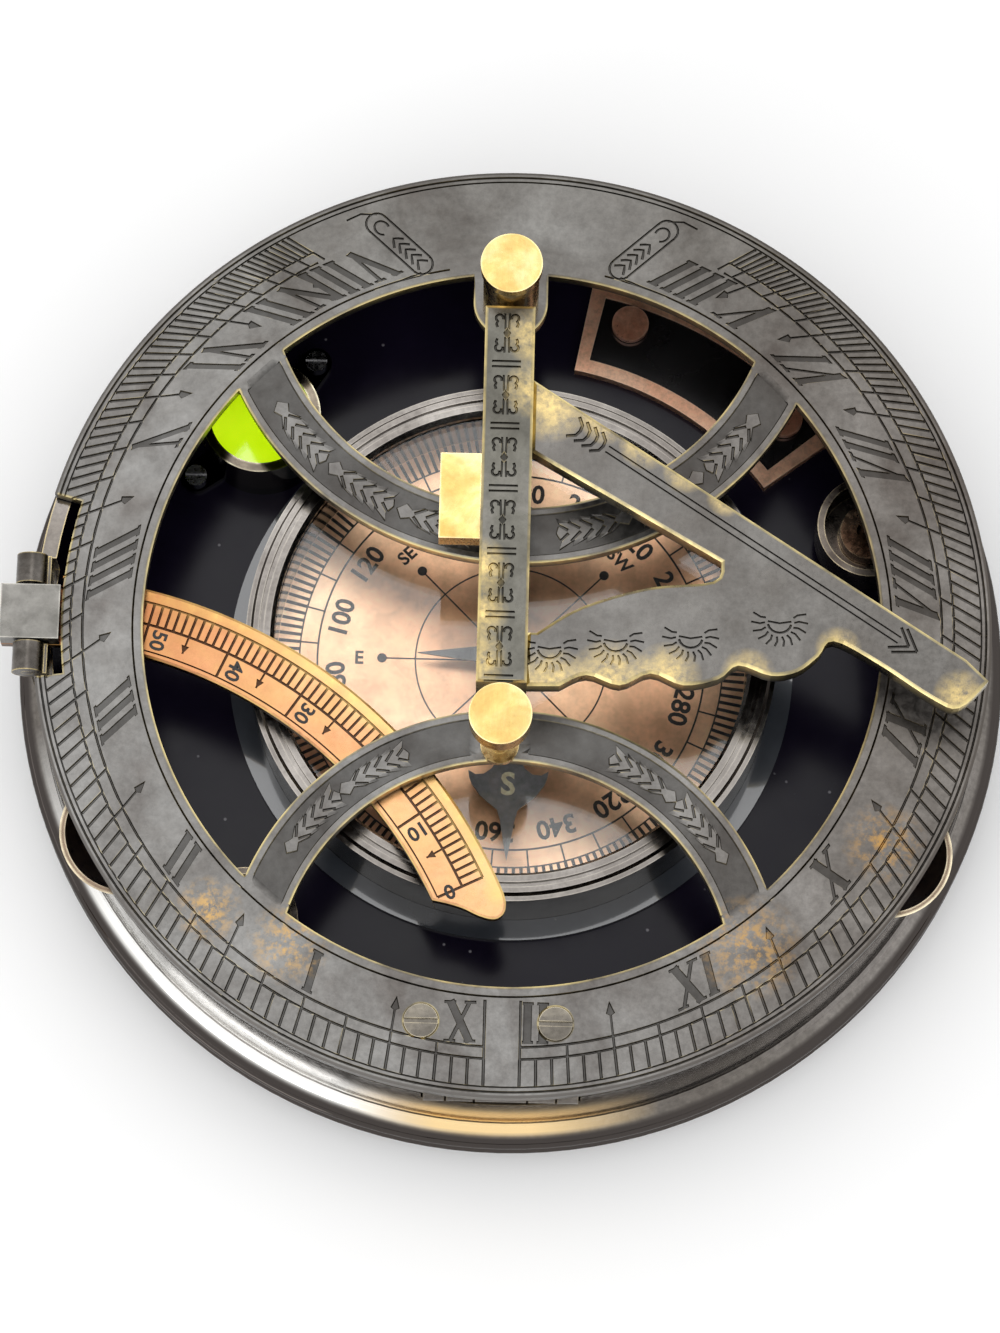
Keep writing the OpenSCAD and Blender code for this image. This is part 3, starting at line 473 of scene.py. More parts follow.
marks = []
for radius, line_w in ((ring_line_r, ring_line_w), (band_in_r, band_line_w), (rose_r, rose_line_w)):
    marks += [arc_strip(0, radius - line_w / 2, radius + line_w / 2, a, a + 91, 3) for a in range(0, 360, 90)]
for step, inner, outer, line_w in (degree_tens, degree_twos):
    lines = np.arange(0, 360, step) - degree_turn
    marks += [bar(at_angle(inner, a), at_angle(outer, a), line_w) for a in lines]
marks += [bar((0, 0), at_angle(rose_dot_r, a), rose_line_w) for a in range(0, 360, 45)]
marks += [disc_outline(at_angle(rose_dot_r, a), dot_r, 24) for a in range(0, 360, 45)]
relief("dial_marks", [("ink", mark) for mark in marks], bool, lambda kind: 0.0, card_z + ink_t, card_z, 0,
       card_ink, "case")
words = []
for degrees in range(20, 361, 20):
    turn = -90 - degrees - degree_turn
    words.append((str(degrees), *at_angle(figure_r, turn), turn - 90, figure_h))
letter_turns = {"N": 180, "NE": 135, "E": 0, "SE": 45, "S": 0, "SW": -45, "W": 0, "NW": -135}
for i, (letter, turn) in enumerate(letter_turns.items()):
    words.append((letter, *at_angle(rose_letter_r, -90 - 45 * i), turn, rose_letter_h))
figures("dial_figures", words, card_z, ink_t, card_ink, "case")

# Compass needle
# A thin grey enamelled plate, a four-pointed star with two barbed ends, is riveted to a black bar
# magnet. A brass cap in its middle turns on the point of a steel pin.

needle_grey = metal("needle_grey", ((0.16, 0.165, 0.17), (0.22, 0.225, 0.23), (0.3, 0.3, 0.3)),
                    (0.5, 0.5, 0.5), (0.4, 0.55), patch=200, wear=0.4, edge_radius=0.15, metallic=0.2)
dress(needle_grey, "needle_pointer")
magnet_black = lacquer("magnet_black", (0.012, 0.012, 0.013), (0.2, 0.2, 0.2), (0.3, 0.45), 0.3)
dress(magnet_black, "needle_magnet")
cap_brass = metal("cap_brass", ((0.6, 0.42, 0.16), (0.78, 0.58, 0.24), (0.9, 0.72, 0.36)), (0.98, 0.86, 0.5),
                  (0.16, 0.32), patch=260, edge_radius=0.2)
dress(cap_brass, "needle_cap", "dial_pivot_pin")
cream = ink("cream_enamel", (0.75, 0.68, 0.45), 0.35)
letter_y, letter_h, enamel_t = 17.0, 3.0, 0.04
needle_z = box_mm("needle_pointer")[1][2] + print_gap
figures("needle_letters", [("S", 0, -letter_y, 0, letter_h), ("N", 0, letter_y, 180, letter_h)],
        needle_z, enamel_t, cream, "needle")

# Spirit level
# A round vial of lime green liquid in a dark chromed cup, held down by two blackened screws. The vial's
# glass is flat on top.


def dyed_liquid(name, deep, bright):
    """A bright dyed liquid with a painted glow: a little emitted light keeps its colour in the shade."""
    made, tree, shader, place = blank(name)
    cloud = noise(tree, place, 120, 3, 0.5)
    colour = ramp(tree, cloud, (0.35, deep), (0.7, bright))
    # Painted glow: the emission lights the liquid though it is no lamp.
    feed(tree, shader, {"Base Color": colour, "Emission Color": colour, "Emission Strength": 0.75,
                        "Roughness": span(tree, cloud, 0.3, 0.7, 0.08, 0.2)})
    return made


lime = dyed_liquid("lime_liquid", (0.5, 0.75, 0.0), (0.62, 0.86, 0.01))
dress(lime, "level_liquid")
dress(pane, "level_glass")
dark_chrome = metal("dark_chrome", ((0.05, 0.04, 0.035), (0.1, 0.085, 0.07), (0.24, 0.2, 0.15)),
                    (0.95, 0.88, 0.62), (0.06, 0.16), patch=130, edge_radius=0.5, bump=0.02)
overlay(dark_chrome, (("Z", 10, 9.4),), (0.012, 0.012, 0.016))
dress(dark_chrome, "level_cup")
black_steel = metal("black_steel", ((0.2, 0.2, 0.205), (0.33, 0.33, 0.34), (0.5, 0.5, 0.5)), (0.6, 0.6, 0.6),
                    (0.18, 0.34), patch=240, edge_radius=0.25)
dress(black_steel, "level_screws")

# Curved plate
# A curved copper plate with a black enamelled field, held on the floor by two copper rivets. Its field
# is bare.

plate_copper = metal("plate_copper", ((0.86, 0.43, 0.26), (0.96, 0.54, 0.35), (1.0, 0.68, 0.48)),
                     (1.0, 0.72, 0.52), (0.3, 0.46), patch=110, edge_radius=0.3, bump=0.06, metallic=0.6)
dress(plate_copper, "name_plate")
rivet_copper = metal("rivet_copper", ((0.5, 0.2, 0.12), (0.64, 0.29, 0.18), (0.8, 0.42, 0.28)),
                     (0.95, 0.62, 0.44), (0.26, 0.42), patch=220, edge_radius=0.5, metallic=0.6)
dress(rivet_copper, "plate_rivets")
field_black = lacquer("field_black", (0.005, 0.0045, 0.005), (0.3, 0.28, 0.26), (0.16, 0.34))
dress(field_black, "plate_field")

# Ring hinge
# A butt hinge at the noon end joins the case and the ring: one leaf is screwed inside the wall, the
# other under the ring, and a brass pin runs through their knuckles.

hinge_brass = metal("hinge_brass", ((0.09, 0.08, 0.07), (0.14, 0.125, 0.11), (0.2, 0.185, 0.17)), BRASS,
                    (0.16, 0.34), patch=90, edge_radius=0.25, wear=0.12)
dress(hinge_brass, "case_hinge_leaf", "ring_hinge_leaf", "ring_hinge_pin")
dress(steel, "case_leaf_screws")
leaf_screw_bronze = metal("leaf_screw_bronze", ((0.1, 0.09, 0.075), (0.16, 0.145, 0.125), (0.3, 0.27, 0.22)),
                          (0.8, 0.7, 0.5), (0.22, 0.4), patch=200, edge_radius=0.2)
dress(leaf_screw_bronze, "ring_leaf_screws")

# Hour ring
# A flat cast ring with two leafed arches and a lobe for the post. Hour scale, Roman numerals and
# ornaments are engraved and filled with dark patina, and handling has rubbed its edges to bare brass.

ring_low, ring_high = box_mm("hour_ring")
ring_top, ring_bottom = ring_high[2], ring_low[2]
ring_r = ring_high[1]
ring_in_r = ring_r - 13.8
ring_margin, ring_gap = 0.9, 0.02
upper_arch = {"centre": (0, 47.3), "radius": 35.8, "width": 7.2, "crown": -90,
              "leaves": (-31, -20.5, -10, 10, 20.5, 31)}
lower_arch = {"centre": (0, -45.7), "radius": 31.3, "width": 6.5, "crown": 90,
              "leaves": (-27.5, -17.5, 17.5, 27.5)}
arch_reach, arch_border, bed_slope = 72, 0.9, 0.16
leaf_room, blade_slope, vein_slope = 5.4, 0.14, 0.12
pivot_x, lobe_y, lobe_w, lobe_root_y = -1.2, 42.4, 9.4, ring_in_r + 1
post_y = {"south": 41.7, "north": -15.9}
post_hole_r, post_pad_r = 1.32, 3.85
leaf_screws, leaf_screw_sink_r = ((-10, -50.6), (6.5, -50.6)), 2.12
notch_start, notch_stop, notch_depth = 165, 188, 3.6
rim_w, groove_d, channel_d, slope_w, vein_d = 0.32, 0.28, 0.26, 0.13, 0.26
quarter_r, cell_in_r, cell_out_r, scale_line_w = 53.7, 55.2, 58.55, 0.34
edge_line_r, edge_line_w, outer_line_gap, outer_line_w = 59.25, 0.3, 0.1, 0.22
inner_line_r, inner_line_w, inner_line_start, inner_line_stop = 47.45, 0.26, 101, 437
numeral_r, numeral_h, spear_len = 50.6, 5.2, 4.4
noon_half, hour_eye_y, noon_foot_r = 2.2, 34.3, 47.9


def engraved(outline, slope=slope_w):
    """An engraved figure: its opening, and the narrower floor at the foot of its sloped sides."""
    outline = wound(np.asarray(outline, float))
    return [("cut", outline), ("floor", inset(outline, slope))]


def stroke(path, width):
    """A line of even width along a path of points: the path moved half a width to each side."""
    path = np.asarray(path, float)
    run = np.gradient(path, axis=0)
    run /= np.linalg.norm(run, axis=1, keepdims=True)
    side = np.stack([-run[:, 1], run[:, 0]], axis=1) * width / 2
    return wound(np.concatenate([path - side, (path + side)[::-1]]))


def ring_line(radius, start, stop, width):
    """An engraved line round the ring from one angle to another, in overlapping pieces."""
    shapes = []
    for a in np.arange(start, stop, 60):
        shapes += engraved(arc_strip(0, radius - width / 2, radius + width / 2, a, min(a + 60.5, stop)))
    return shapes


def hour_point(hour, radius, side):
    """Where the line of an hour meets a circle: the eye of the dial is noon_half off the middle on each
    side, and the hours are equal steps of 15 degrees seen from it."""
    lean = math.radians(15 * hour)
    eye = np.array([side * noon_half, hour_eye_y])
    along = np.array([side * math.sin(lean), -math.cos(lean)])
    middle = np.dot(eye, along)
    return eye + along * (-middle + math.sqrt(middle ** 2 - np.dot(eye, eye) + radius ** 2))


def hour_line(hour, inner, outer, side, width=0.4, slope=0.12):
    """The stretch of an hour's line between two circles."""
    return engraved(bar(hour_point(hour, inner, side), hour_point(hour, outer, side), width), slope)


def numeral(letters, centre, across, up):
    """The strokes of a Roman numeral with serifs. Its letters stand side by side along the vector across,
    and their strokes run along the vector up, so that they slant where the two aren't square. Widths are
    shares of the height."""
    widths = {"I": 0.3, "V": 0.72, "X": 0.74}
    thick, thin, serif, serif_half, gap, foot_share, numeral_slope = 0.2, 0.1, 0.075, 0.14, 0.06, 0.64, 0.09
    left = -(sum(widths[c] for c in letters) + gap * (len(letters) - 1)) / 2
    parts = []
    for letter in letters:
        half = widths[letter] / 2
        mid = left + half
        feet = [mid - half * foot_share, mid + half * foot_share]
        if letter == "I":
            parts += [bar((mid, 0), (mid, 1), thick)]
            feet = [mid]
        elif letter == "V":
            parts += [bar((feet[0], 1), (mid + 0.02, 0), thick), bar((feet[1], 1), (mid, 0.03), thin)]
        else:
            parts += [bar((feet[0], 1), (feet[1], 0), thick), bar((feet[1], 1), (feet[0], 0), thin)]
        ends = (1 - serif / 2,) if letter == "V" else (serif / 2, 1 - serif / 2)
        parts += [bar((x - serif_half, y), (x + serif_half, y), serif) for x in feet for y in ends]
        left += widths[letter] + gap
    shapes = []
    for part in parts:
        shapes += engraved(part[:, :1] * across + (part[:, 1:] - 0.5) * up + centre, numeral_slope)
    return shapes


def spear(foot, along):
    """A shaft along a unit vector that ends in a small leaf-shaped head."""
    width, shaft_w, head_len, head_foot = 1.15, 0.3, 1.9, 0.35
    tip = foot + along * spear_len
    direction = (tip - foot) / np.linalg.norm(tip - foot)
    side = np.array([-direction[1], direction[0]]) * width / 2
    head = tip - direction * head_len
    shaft = engraved(bar(foot, head + direction * 0.3, shaft_w), 0.08)
    barbs = head + direction * head_foot
    return shaft + engraved([tip, barbs + side, head, barbs - side], 0.12)


def hour_scale():
    """Both halves of the scale: a cell for each five minutes, a longer line for each quarter, a spear for
    each half hour and a numeral for each hour, with a plain gap at noon."""
    shapes = []
    afternoon = ("", "I", "II", "III", "IIII", "V", "VI", "VII", "VIII")
    morning = ("", "XI", "X", "IX", "VIII", "VII", "VI", "V", "IIII")
    steps_per_hour, steps_per_quarter, last_hour = 12, 3, 8
    for side, names in ((-1, afternoon), (1, morning)):
        eye = np.array([side * noon_half, hour_eye_y])
        for step in range(last_hour * steps_per_hour + 1):
            hour = step / steps_per_hour
            shapes += hour_line(hour, cell_in_r, cell_out_r, side)
            if step % steps_per_quarter == 0:
                shapes += hour_line(hour, quarter_r, cell_in_r, side, scale_line_w, 0.1)
            if step % steps_per_hour == steps_per_hour // 2:
                foot = hour_point(hour, quarter_r, side)
                shapes += spear(foot, (eye - foot) / np.linalg.norm(eye - foot))
        shapes += hour_line(0, noon_foot_r, cell_out_r, side)
        for hour, name in enumerate(names):
            if name:
                centre = hour_point(hour, numeral_r, side)
                inward = -centre / np.linalg.norm(centre)
                across = np.array([inward[1], -inward[0]]) * numeral_h
                up = eye - centre
                shapes += numeral(name, centre, across, up * numeral_h / np.dot(up, inward))
        ends = (0, last_hour) if side > 0 else (last_hour, 0)
        points = [hour_point(hour, cell_in_r, side) for hour in ends]
        first, last = (math.degrees(math.atan2(y, x)) % 360 for x, y in points)
        last += 360 if last < first else 0
        for radius in (quarter_r, cell_in_r):
            shapes += ring_line(radius, first, last, scale_line_w)
    for letters, x in (("X", -5.2), ("II", 4.0)):
        shapes += numeral(letters, (x, -numeral_r), np.array([numeral_h, 0]), np.array([0, numeral_h]))
    return shapes


def capsule(side):
    """A slanted capsule with chevrons and a loop, and the panel line that runs on from it. It is drawn
    level, leant by an angle, and mirrored on the left."""
    middle, lean, length, width = np.array([side * 15.6, 49.9]), 42, 10.7, 2.8
    end_u, half_w, line_w = length / 2 - width / 2, width / 2, 0.3

    def put(level_points):
        return turned(np.asarray(level_points, float), lean) * [side, 1] + middle

    out = []
    for end, facing in (([end_u, 0], 0), ([-end_u, 0], 180)):
        angles = np.radians(np.linspace(-90, 90, 11) + facing)
        out.append(stroke(put(end + round_points(angles) * half_w), line_w))
    for v in (-half_w, half_w):
        out.append(stroke(put([[-end_u, v], [0, v], [end_u, v]]), line_w))
    for u in np.linspace(-3.7, 0.6, 5):
        chevron = [[u - 0.55, 0.85], [u, 0.42], [u + 0.45, 0], [u, -0.42], [u - 0.55, -0.85]]
        out.append(stroke(put(chevron), 0.34))
    loop = round_points(np.radians(np.linspace(-150, 120, 17))) * [1.0, 0.85]
    out.append(stroke(put([3.1, 0] + loop), line_w))
    head, foot = put([[length / 2 - 0.5, 0.9], [-length / 2 + 0.6, -0.9]])
    out.append(stroke([head, at_angle(57.6, 90 - side * 21), at_angle(57.4, 90 - side * 23)], 0.28))
    out.append(stroke([foot, at_angle(47.6, 90 - side * 17), at_angle(47.5, 90 - side * 23)], 0.28))
    return [shape for outline in out for shape in engraved(outline, 0.09)]


def leaf_outline(trim):
    """A feathered leaf along u, drawn smaller by trim on all sides: a lozenge at its tip, then barbs like
    saw teeth that sweep back and grow towards the tail."""
    length, half, barbs, barb_step, first_barb = 10.9, 2.3, 5, 0.145, 0.31
    upper = [[length / 2 - 1.5 * trim, 0], [length * 0.4, half * 0.5 - 1.2 * trim],
             [length * first_barb, half * 0.26 - trim]]
    for i in range(barbs):
        u = length * (first_barb - barb_step * i)
        reach = half * (0.78 + 0.05 * i)
        upper += [[u - 1.7 + 0.5 * trim, reach - 1.4 * trim], [u - 1.35 + trim, half * 0.55 - trim]]
    upper.append([-length * 0.44 + trim, 0.02])
    upper = np.array(upper)
    return np.concatenate([upper, (upper * [1, -1])[::-1][:-1]])


def leaf_veins():
    """The veins of a leaf: pairs of short strokes that sweep back from its middle line."""
    count, step, width = 5, 1.55, 0.42
    return [bar((3.0 - step * i, 0.2 * side), (1.6 - step * i, 1.3 * side), width)
            for i in range(count) for side in (-1, 1)]


def arch_shapes(arch, label):
    """One arch: its band, the channel sunk into it, and the raised leaves in the channel, which point
    away from the crown. A leaf is drawn along u and v and bent round the arch: u runs along its middle
    from the leaf's place, and v across it."""
    centre, crown = np.array(arch["centre"], float), arch["crown"]
    radius, width = arch["radius"], arch["width"]
    outer_r, inner_r = radius + width / 2, radius - width / 2
    circles = (("", outer_r), ("_in", inner_r), ("_rim", outer_r - rim_w), ("_rim", inner_r + rim_w))
    shapes = [(label + tag, disc_outline(centre, edge_r, 360)) for tag, edge_r in circles]
    start, stop = crown - arch_reach, crown + arch_reach
    for tag, slope in (("_channel", 0), ("_bed", bed_slope)):
        low_r, high_r = inner_r + arch_border + slope, outer_r - arch_border - slope
        shapes.append((label + tag, arc_strip(centre, low_r, high_r, start, stop)))
    drawn = [("leaf", leaf_outline(0)), ("blade", leaf_outline(blade_slope))]
    for vein in leaf_veins():
        drawn += [("vein_cut", vein), ("vein", inset(vein, vein_slope))]
    for place in arch["leaves"]:
        facing = [1 if place > 0 else -1, (width - 2 * arch_border) / leaf_room]
        for tag, outline in drawn:
            along, across = (outline * facing).T
            angle = np.radians(crown) + (along + place) / radius
            shapes.append((tag, round_points(angle) * (radius + across)[:, None] + centre))
    return shapes


def ring_solid(kind):
    """Metal is the ring, the arches and the lobe inside the ring's root, less the notch and the holes."""
    if "outside" not in kind or "hole" in kind:
        return False
    if "opening" not in kind:
        return True
    return "lobe" in kind or any(arch in kind and arch + "_in" not in kind for arch in ("upper", "lower"))


def ring_level(kind):
    """The height of a piece of the ring over its top, or None on a slope. Arch beds count only inside the
    ring's opening and off the pad, and leaves only in a bed."""
    in_opening = "within" in kind and "pad" not in kind
    if in_opening and ("upper_bed" in kind or "lower_bed" in kind):
        if "blade" in kind:
            return -vein_d if "vein" in kind else None if "vein_cut" in kind else 0.0
        return None if "leaf" in kind else -channel_d
    if in_opening and ("upper_channel" in kind or "lower_channel" in kind):
        return None
    if "floor" in kind:
        return -groove_d
    return None if "cut" in kind else 0.0


lobe_arc = round_points(np.radians(np.linspace(-180, 0, 33))) * lobe_w / 2 + [pivot_x, lobe_y]
lobe_root = [[pivot_x - lobe_w / 2, lobe_root_y], [pivot_x + lobe_w / 2, lobe_root_y]]
lobe = wound(np.concatenate([lobe_root, lobe_arc[::-1]]))
notch_in_r, ring_past = ring_r - notch_depth, ring_r + 1
ring_shapes = [("outside", disc_outline(0, ring_r - ring_gap, 720)),
               ("rim", disc_outline(0, ring_r - rim_w, 720)),
               ("opening", disc_outline(0, ring_in_r, 540)),
               ("rim", disc_outline(0, ring_in_r + rim_w, 540)),
               ("within", disc_outline(0, ring_in_r - ring_margin, 540))]
ring_shapes += arch_shapes(upper_arch, "upper") + arch_shapes(lower_arch, "lower")
ring_shapes += [("lobe", lobe), ("rim", inset(lobe, rim_w))]
ring_shapes += [("hole", arc_strip(0, notch_in_r, ring_past, notch_start, notch_stop, 1)),
                ("rim", arc_strip(0, notch_in_r - rim_w, ring_past, notch_start - 0.3, notch_stop + 0.3, 1))]
ring_shapes += [("hole", disc_outline((pivot_x, y), post_hole_r, 32)) for y in post_y.values()]
ring_shapes.append(("pad", disc_outline((pivot_x, post_y["north"]), post_pad_r, 48)))
ring_shapes += [("hole", disc_outline(p, leaf_screw_sink_r, 40)) for p in leaf_screws]
ring_shapes += [("rim", disc_outline(p, leaf_screw_sink_r + 0.25, 40)) for p in leaf_screws]
ring_shapes += [("rim", disc_outline((pivot_x, y), post_hole_r + 0.2, 32)) for y in post_y.values()]
ring_shapes += hour_scale() + capsule(-1) + capsule(1) + ring_line(edge_line_r, 0, 360, edge_line_w)
ring_shapes += ring_line(inner_line_r, inner_line_start, inner_line_stop, inner_line_w)
ring_shapes += ring_line(cell_out_r + outer_line_gap, 0, 360, outer_line_w)

GUNMETAL = ((0.13, 0.117, 0.108), (0.215, 0.207, 0.197), (0.315, 0.31, 0.3))
bronze_spots = ((-26.5, -41.5, 5.5), (-36.5, -37.5, 4.5), (30, -40.5, 7), (46.5, -27, 5.5))
ring_bronze = metal("ring_bronze", GUNMETAL, (0.95, 0.78, 0.36), (0.3, 0.46), patch=80, wear=1,
                    relief_top=ring_top, patina=0.6, spots=bronze_spots, spot_tone=(0.6, 0.37, 0.13),
                    spot_fleck=(0.46, 0.6))
overlay(ring_bronze, (("R", 59.58, 59.7),), (0.15, 0.14, 0.13))
# Painted shade: the ring is darkened towards its right side and towards its far end.
overlay(ring_bronze, (("X", 5, 45),), (0.74, 0.7, 0.67), "MULTIPLY")
overlay(ring_bronze, (("Y", 25, 50),), (0.74, 0.73, 0.71), "MULTIPLY")
relief("hour_ring_engraved", ring_shapes, ring_solid, ring_level, ring_top, ring_bottom, 0.14, ring_bronze,
       "ring", ("hour_ring",))

# Posts
# Two turned brass posts are riveted into the ring and carry the gnomon's pivots. Their flat heads are
# filed bright, and their shanks have gone brown.

post_brass = metal("post_brass", ((0.3, 0.2, 0.08), (0.5, 0.36, 0.16), (0.7, 0.54, 0.28)), (0.95, 0.82, 0.45),
                   (0.16, 0.34), patch=220, edge_radius=0.3)
dress(post_brass, "south_post", "north_post")
head_brass = metal("head_brass", ((0.5, 0.31, 0.09), (0.63, 0.44, 0.16), (0.78, 0.62, 0.31)),
                   (0.98, 0.86, 0.5), (0.18, 0.34), patch=170, grain=900, edge_radius=0.4, bump=0.3,
                   stretch=(1, 0.25, 1))
dress(head_brass, "south_head", "north_head")

# Gnomon bar
# The gnomon's cast base bar turns on two pins between the posts. Scrolled panels between double lines
# run down its middle, and its right edge is rubbed to brass.

bar_low, bar_high = box_mm("gnomon_bar")
bar_x = (bar_low[0] + bar_high[0]) / 2
panel_gap, panel_count, panel_w = 0.9, 6, 3.6
panel_x = bar_x - 0.35


def scroll(x, y, mirror, flip, size):
    """Half of a scrolled ornament: a curl that opens outwards, as an arc of a circle with a tail. Its
    radius, its tail and its distance from the middle are shares of its size."""
    curl_r, curl_out = 0.24, 0.5
    curl = round_points(np.radians(np.linspace(-60, 200, 12))) * size * curl_r
    tail = np.array([[0.12 * size, -0.62 * size], [0.2 * size, -0.4 * size]])
    return np.concatenate([tail, curl]) * [mirror, flip] + [x + mirror * size * curl_out, y]


def panel(y, length):
    """One panel: four scrolls about a small lozenge, with a double line at its end."""
    scroll_share, scroll_w, stem_w, lozenge_x, lozenge_y = 0.27, 0.34, 0.26, 0.5, 0.8
    end_line_w, end_line_off = 0.3, 0.35
    shapes = []
    for mirror in (-1, 1):
        for flip in (-1, 1):
            path = scroll(panel_x, y + flip * length * scroll_share, mirror, flip, length * scroll_share)
            stem = [(panel_x + mirror * u, y + flip * v) for u, v in ((0.22, 0.5), (0.3, length * 0.36))]
            shapes += engraved(stroke(path, scroll_w), 0.09) + engraved(bar(*stem, stem_w), 0.07)
    lozenge = ((-lozenge_x, 0), (0, -lozenge_y), (lozenge_x, 0), (0, lozenge_y))
    shapes += engraved([(panel_x + u, y + v) for u, v in lozenge], 0.1)
    for offset in (-end_line_off, end_line_off):
        line_y = y - length / 2 - panel_gap / 2 + offset
        line = bar((panel_x - panel_w / 2, line_y), (panel_x + panel_w / 2, line_y), end_line_w)
        shapes += engraved(line, 0.08)
    return shapes


def plate_solid(kind):
    """Metal is inside the outline and outside any hole."""
    return "outside" in kind and "hole" not in kind


def plate_level(kind):
    """Engraved floors are sunk, and their sides slope, as the rims of the plate and of a hole do."""
    if "floor" in kind and "edge" not in kind:
        return -groove_d
    return None if "cut" in kind or "edge" in kind or "rim" not in kind else 0.0


bar_outline = np.array([bar_low[:2], (bar_high[0], bar_low[1]), bar_high[:2], (bar_low[0], bar_high[1])])
bar_shapes = [("outside", bar_outline), ("rim", inset(bar_outline, 0.35))]
panel_step = (bar_high[1] - bar_low[1]) / panel_count
for k in range(panel_count):
    bar_shapes += panel(bar_low[1] + panel_step * (k + 0.5) + panel_gap / 2, panel_step - panel_gap)
bar_spots = [(bar_high[0], y, 4) for y in (34, 27)] + [(bar_low[0], y, 4) for y in (4, -2, -8)]
gold_fleck = (0.3, 0.62)
bar_bronze = metal("bar_bronze", ((0.105, 0.1, 0.085), (0.155, 0.15, 0.13), (0.22, 0.21, 0.19)), BRASS,
                   (0.26, 0.42), patch=110, relief_top=bar_high[2], patina=0.75, spots=bar_spots,
                   spot_tone=(0.8, 0.6, 0.24), spot_fleck=gold_fleck, wear=0.9)
relief("gnomon_bar_engraved", bar_shapes, plate_solid, plate_level, bar_high[2], bar_low[2], 0.16, bar_bronze,
       "gnomon", ("gnomon_bar",))

# Gnomon plate
# The style and its scalloped lower edge are one sawn plate, soldered to the bar. An arrow runs down the
# style and four half suns lie along the foot, and wear has gilded the edges that stand up.

plate_low, plate_high = box_mm("gnomon_plate")
edge_u = plate_low[0] - bar_x
style_top, style_tip, style_w = np.array([edge_u, 28.8]), np.array([57, -5.9]), 9.4
lower_edge = [[59.7, -8.5], [56.1, -12], [52.7, -10.9], [46.2, -6.7], [40.7, -3.9], [38.8, -5.9],
              [36.3, -7.9], [33, -8.5], [29, -7.3], [26.6, -9.1], [22.3, -10], [18.3, -8.6],
              [14.5, -10.2], [10.4, -9], [7.1, -10.5]]
inner_edge = [[26.8, 5.8], [25.8, 3.3], [17.9, 2.3], [9.6, -0.4], [4.2, -3.8]]
arrow_start, arrow_end = np.array([12.4, 20.0]), np.array([50.9, -5.1])
arrow_half, nock_step, nock_count, head_len = 0.42, 1.15, 4, 2.6
suns = ((5.8, -6.2), (13.9, -5.1), (23.1, -4.4), (34, -2.2))


def smooth(points):
    """A smooth curve through points: a Catmull-Rom spline, whose ends repeat."""
    steps = 4
    p = np.array([points[0], *points, points[-1]], float)
    t = np.linspace(0, 1, steps, endpoint=False)[:, None]
    parts = []
    for a, b, c, d in zip(p, p[1:], p[2:], p[3:]):
        square, cube = 2 * a - 5 * b + 4 * c - d, 3 * b - a - 3 * c + d
        parts.append(0.5 * (2 * b + (c - a) * t + square * t ** 2 + cube * t ** 3))
    return np.concatenate([*parts, p[-1:]])


def half_sun(u, v):
    """A half sun: a flat-topped bowl with curved rays fanned out below it."""
    bowl_x, bowl_y, lift, bowl_w, thin_w = 1.45, 1.3, 0.4, 0.3, 0.26
    ray_foot, ray_bend, ray_tip, ray_count = 1.8, 2.4, 3.0, 12
    bowl = round_points(np.radians(np.linspace(-170, -10, 9))) * [bowl_x, bowl_y] + [u, v + lift]
    lip = [[u - bowl_x, v + 0.55], [u, v + 0.3], [u + bowl_x, v + 0.55]]
    shapes = engraved(stroke(bowl, bowl_w), 0.08) + engraved(stroke(lip, thin_w), 0.07)
    for degrees in np.linspace(-200, 20, ray_count):
        along = at_angle(1, degrees)
        side = np.array([-along[1], along[0]])
        tip = along * (ray_tip + 0.5 * abs(along[0])) - side * 0.05
        ray = [along * ray_foot, along * ray_bend + side * 0.16, tip]
        shapes += engraved(stroke(np.array(ray) + [u, v + lift], thin_w), 0.07)
    return shapes


def arrow():
    """The arrow along the style: a double line, a tail of nested nocks and a head of two chevrons."""
    along = (arrow_end - arrow_start) / np.linalg.norm(arrow_end - arrow_start)
    aside = np.array([-along[1], along[0]])
    line_w, nock_w, barb_w, first_nock, chevron_gap = 0.22, 0.42, 0.36, 0.6, 1.2
    shapes = []
    for offset in (-arrow_half, arrow_half):
        line = bar(arrow_start + aside * offset, arrow_end - along * head_len + aside * offset, line_w)
        shapes += engraved(line, 0.06)
    for k in range(nock_count):
        nock = arrow_start - along * (first_nock + nock_step * k)
        bend = ((1.1, 1.5), (0.15, 0.75), (0, 0), (0.15, -0.75), (1.1, -1.5))
        shapes += engraved(stroke([nock - along * back + aside * out for back, out in bend], nock_w), 0.1)
    for k, reach in enumerate((2.0, 1.7)):
        point = arrow_end - along * chevron_gap * k
        for turn in (-1, 1):
            barb = bar(point, point - along * (head_len - 0.5 * k) + aside * turn * reach * 0.9, barb_w)
            shapes += engraved(barb, 0.09)
    return shapes


inner = smooth(inner_edge)
plate_outline = np.concatenate([[style_top, style_tip], smooth(lower_edge), [(edge_u, bar_low[1])]])
opening = np.concatenate([[style_top - [0, style_w]], inner, [(edge_u, inner[-1][1])]])
plate_shapes = [("outside", plate_outline), ("rim", inset(wound(plate_outline), 0.4)), ("hole", opening),
                ("edge", inset(wound(opening), -0.4))]
plate_shapes += arrow()
for u, v in suns:
    plate_shapes += half_sun(u, v)
plate_shapes = [(tag, np.asarray(outline, float) + [bar_x, 0]) for tag, outline in plate_shapes]
gold_spots = ((4, 26, 5.5), (11, 24, 3.5), (16, 20.8, 3.5), (21, 17.4, 3), (26, 14, 2.5), (5, -10.5, 5),
              (12, -9.8, 5.5), (19, -9, 4.5), (29, -8.5, 3.5), (40, -5, 3), (55, -10.5, 3.5), (3, -1, 3))
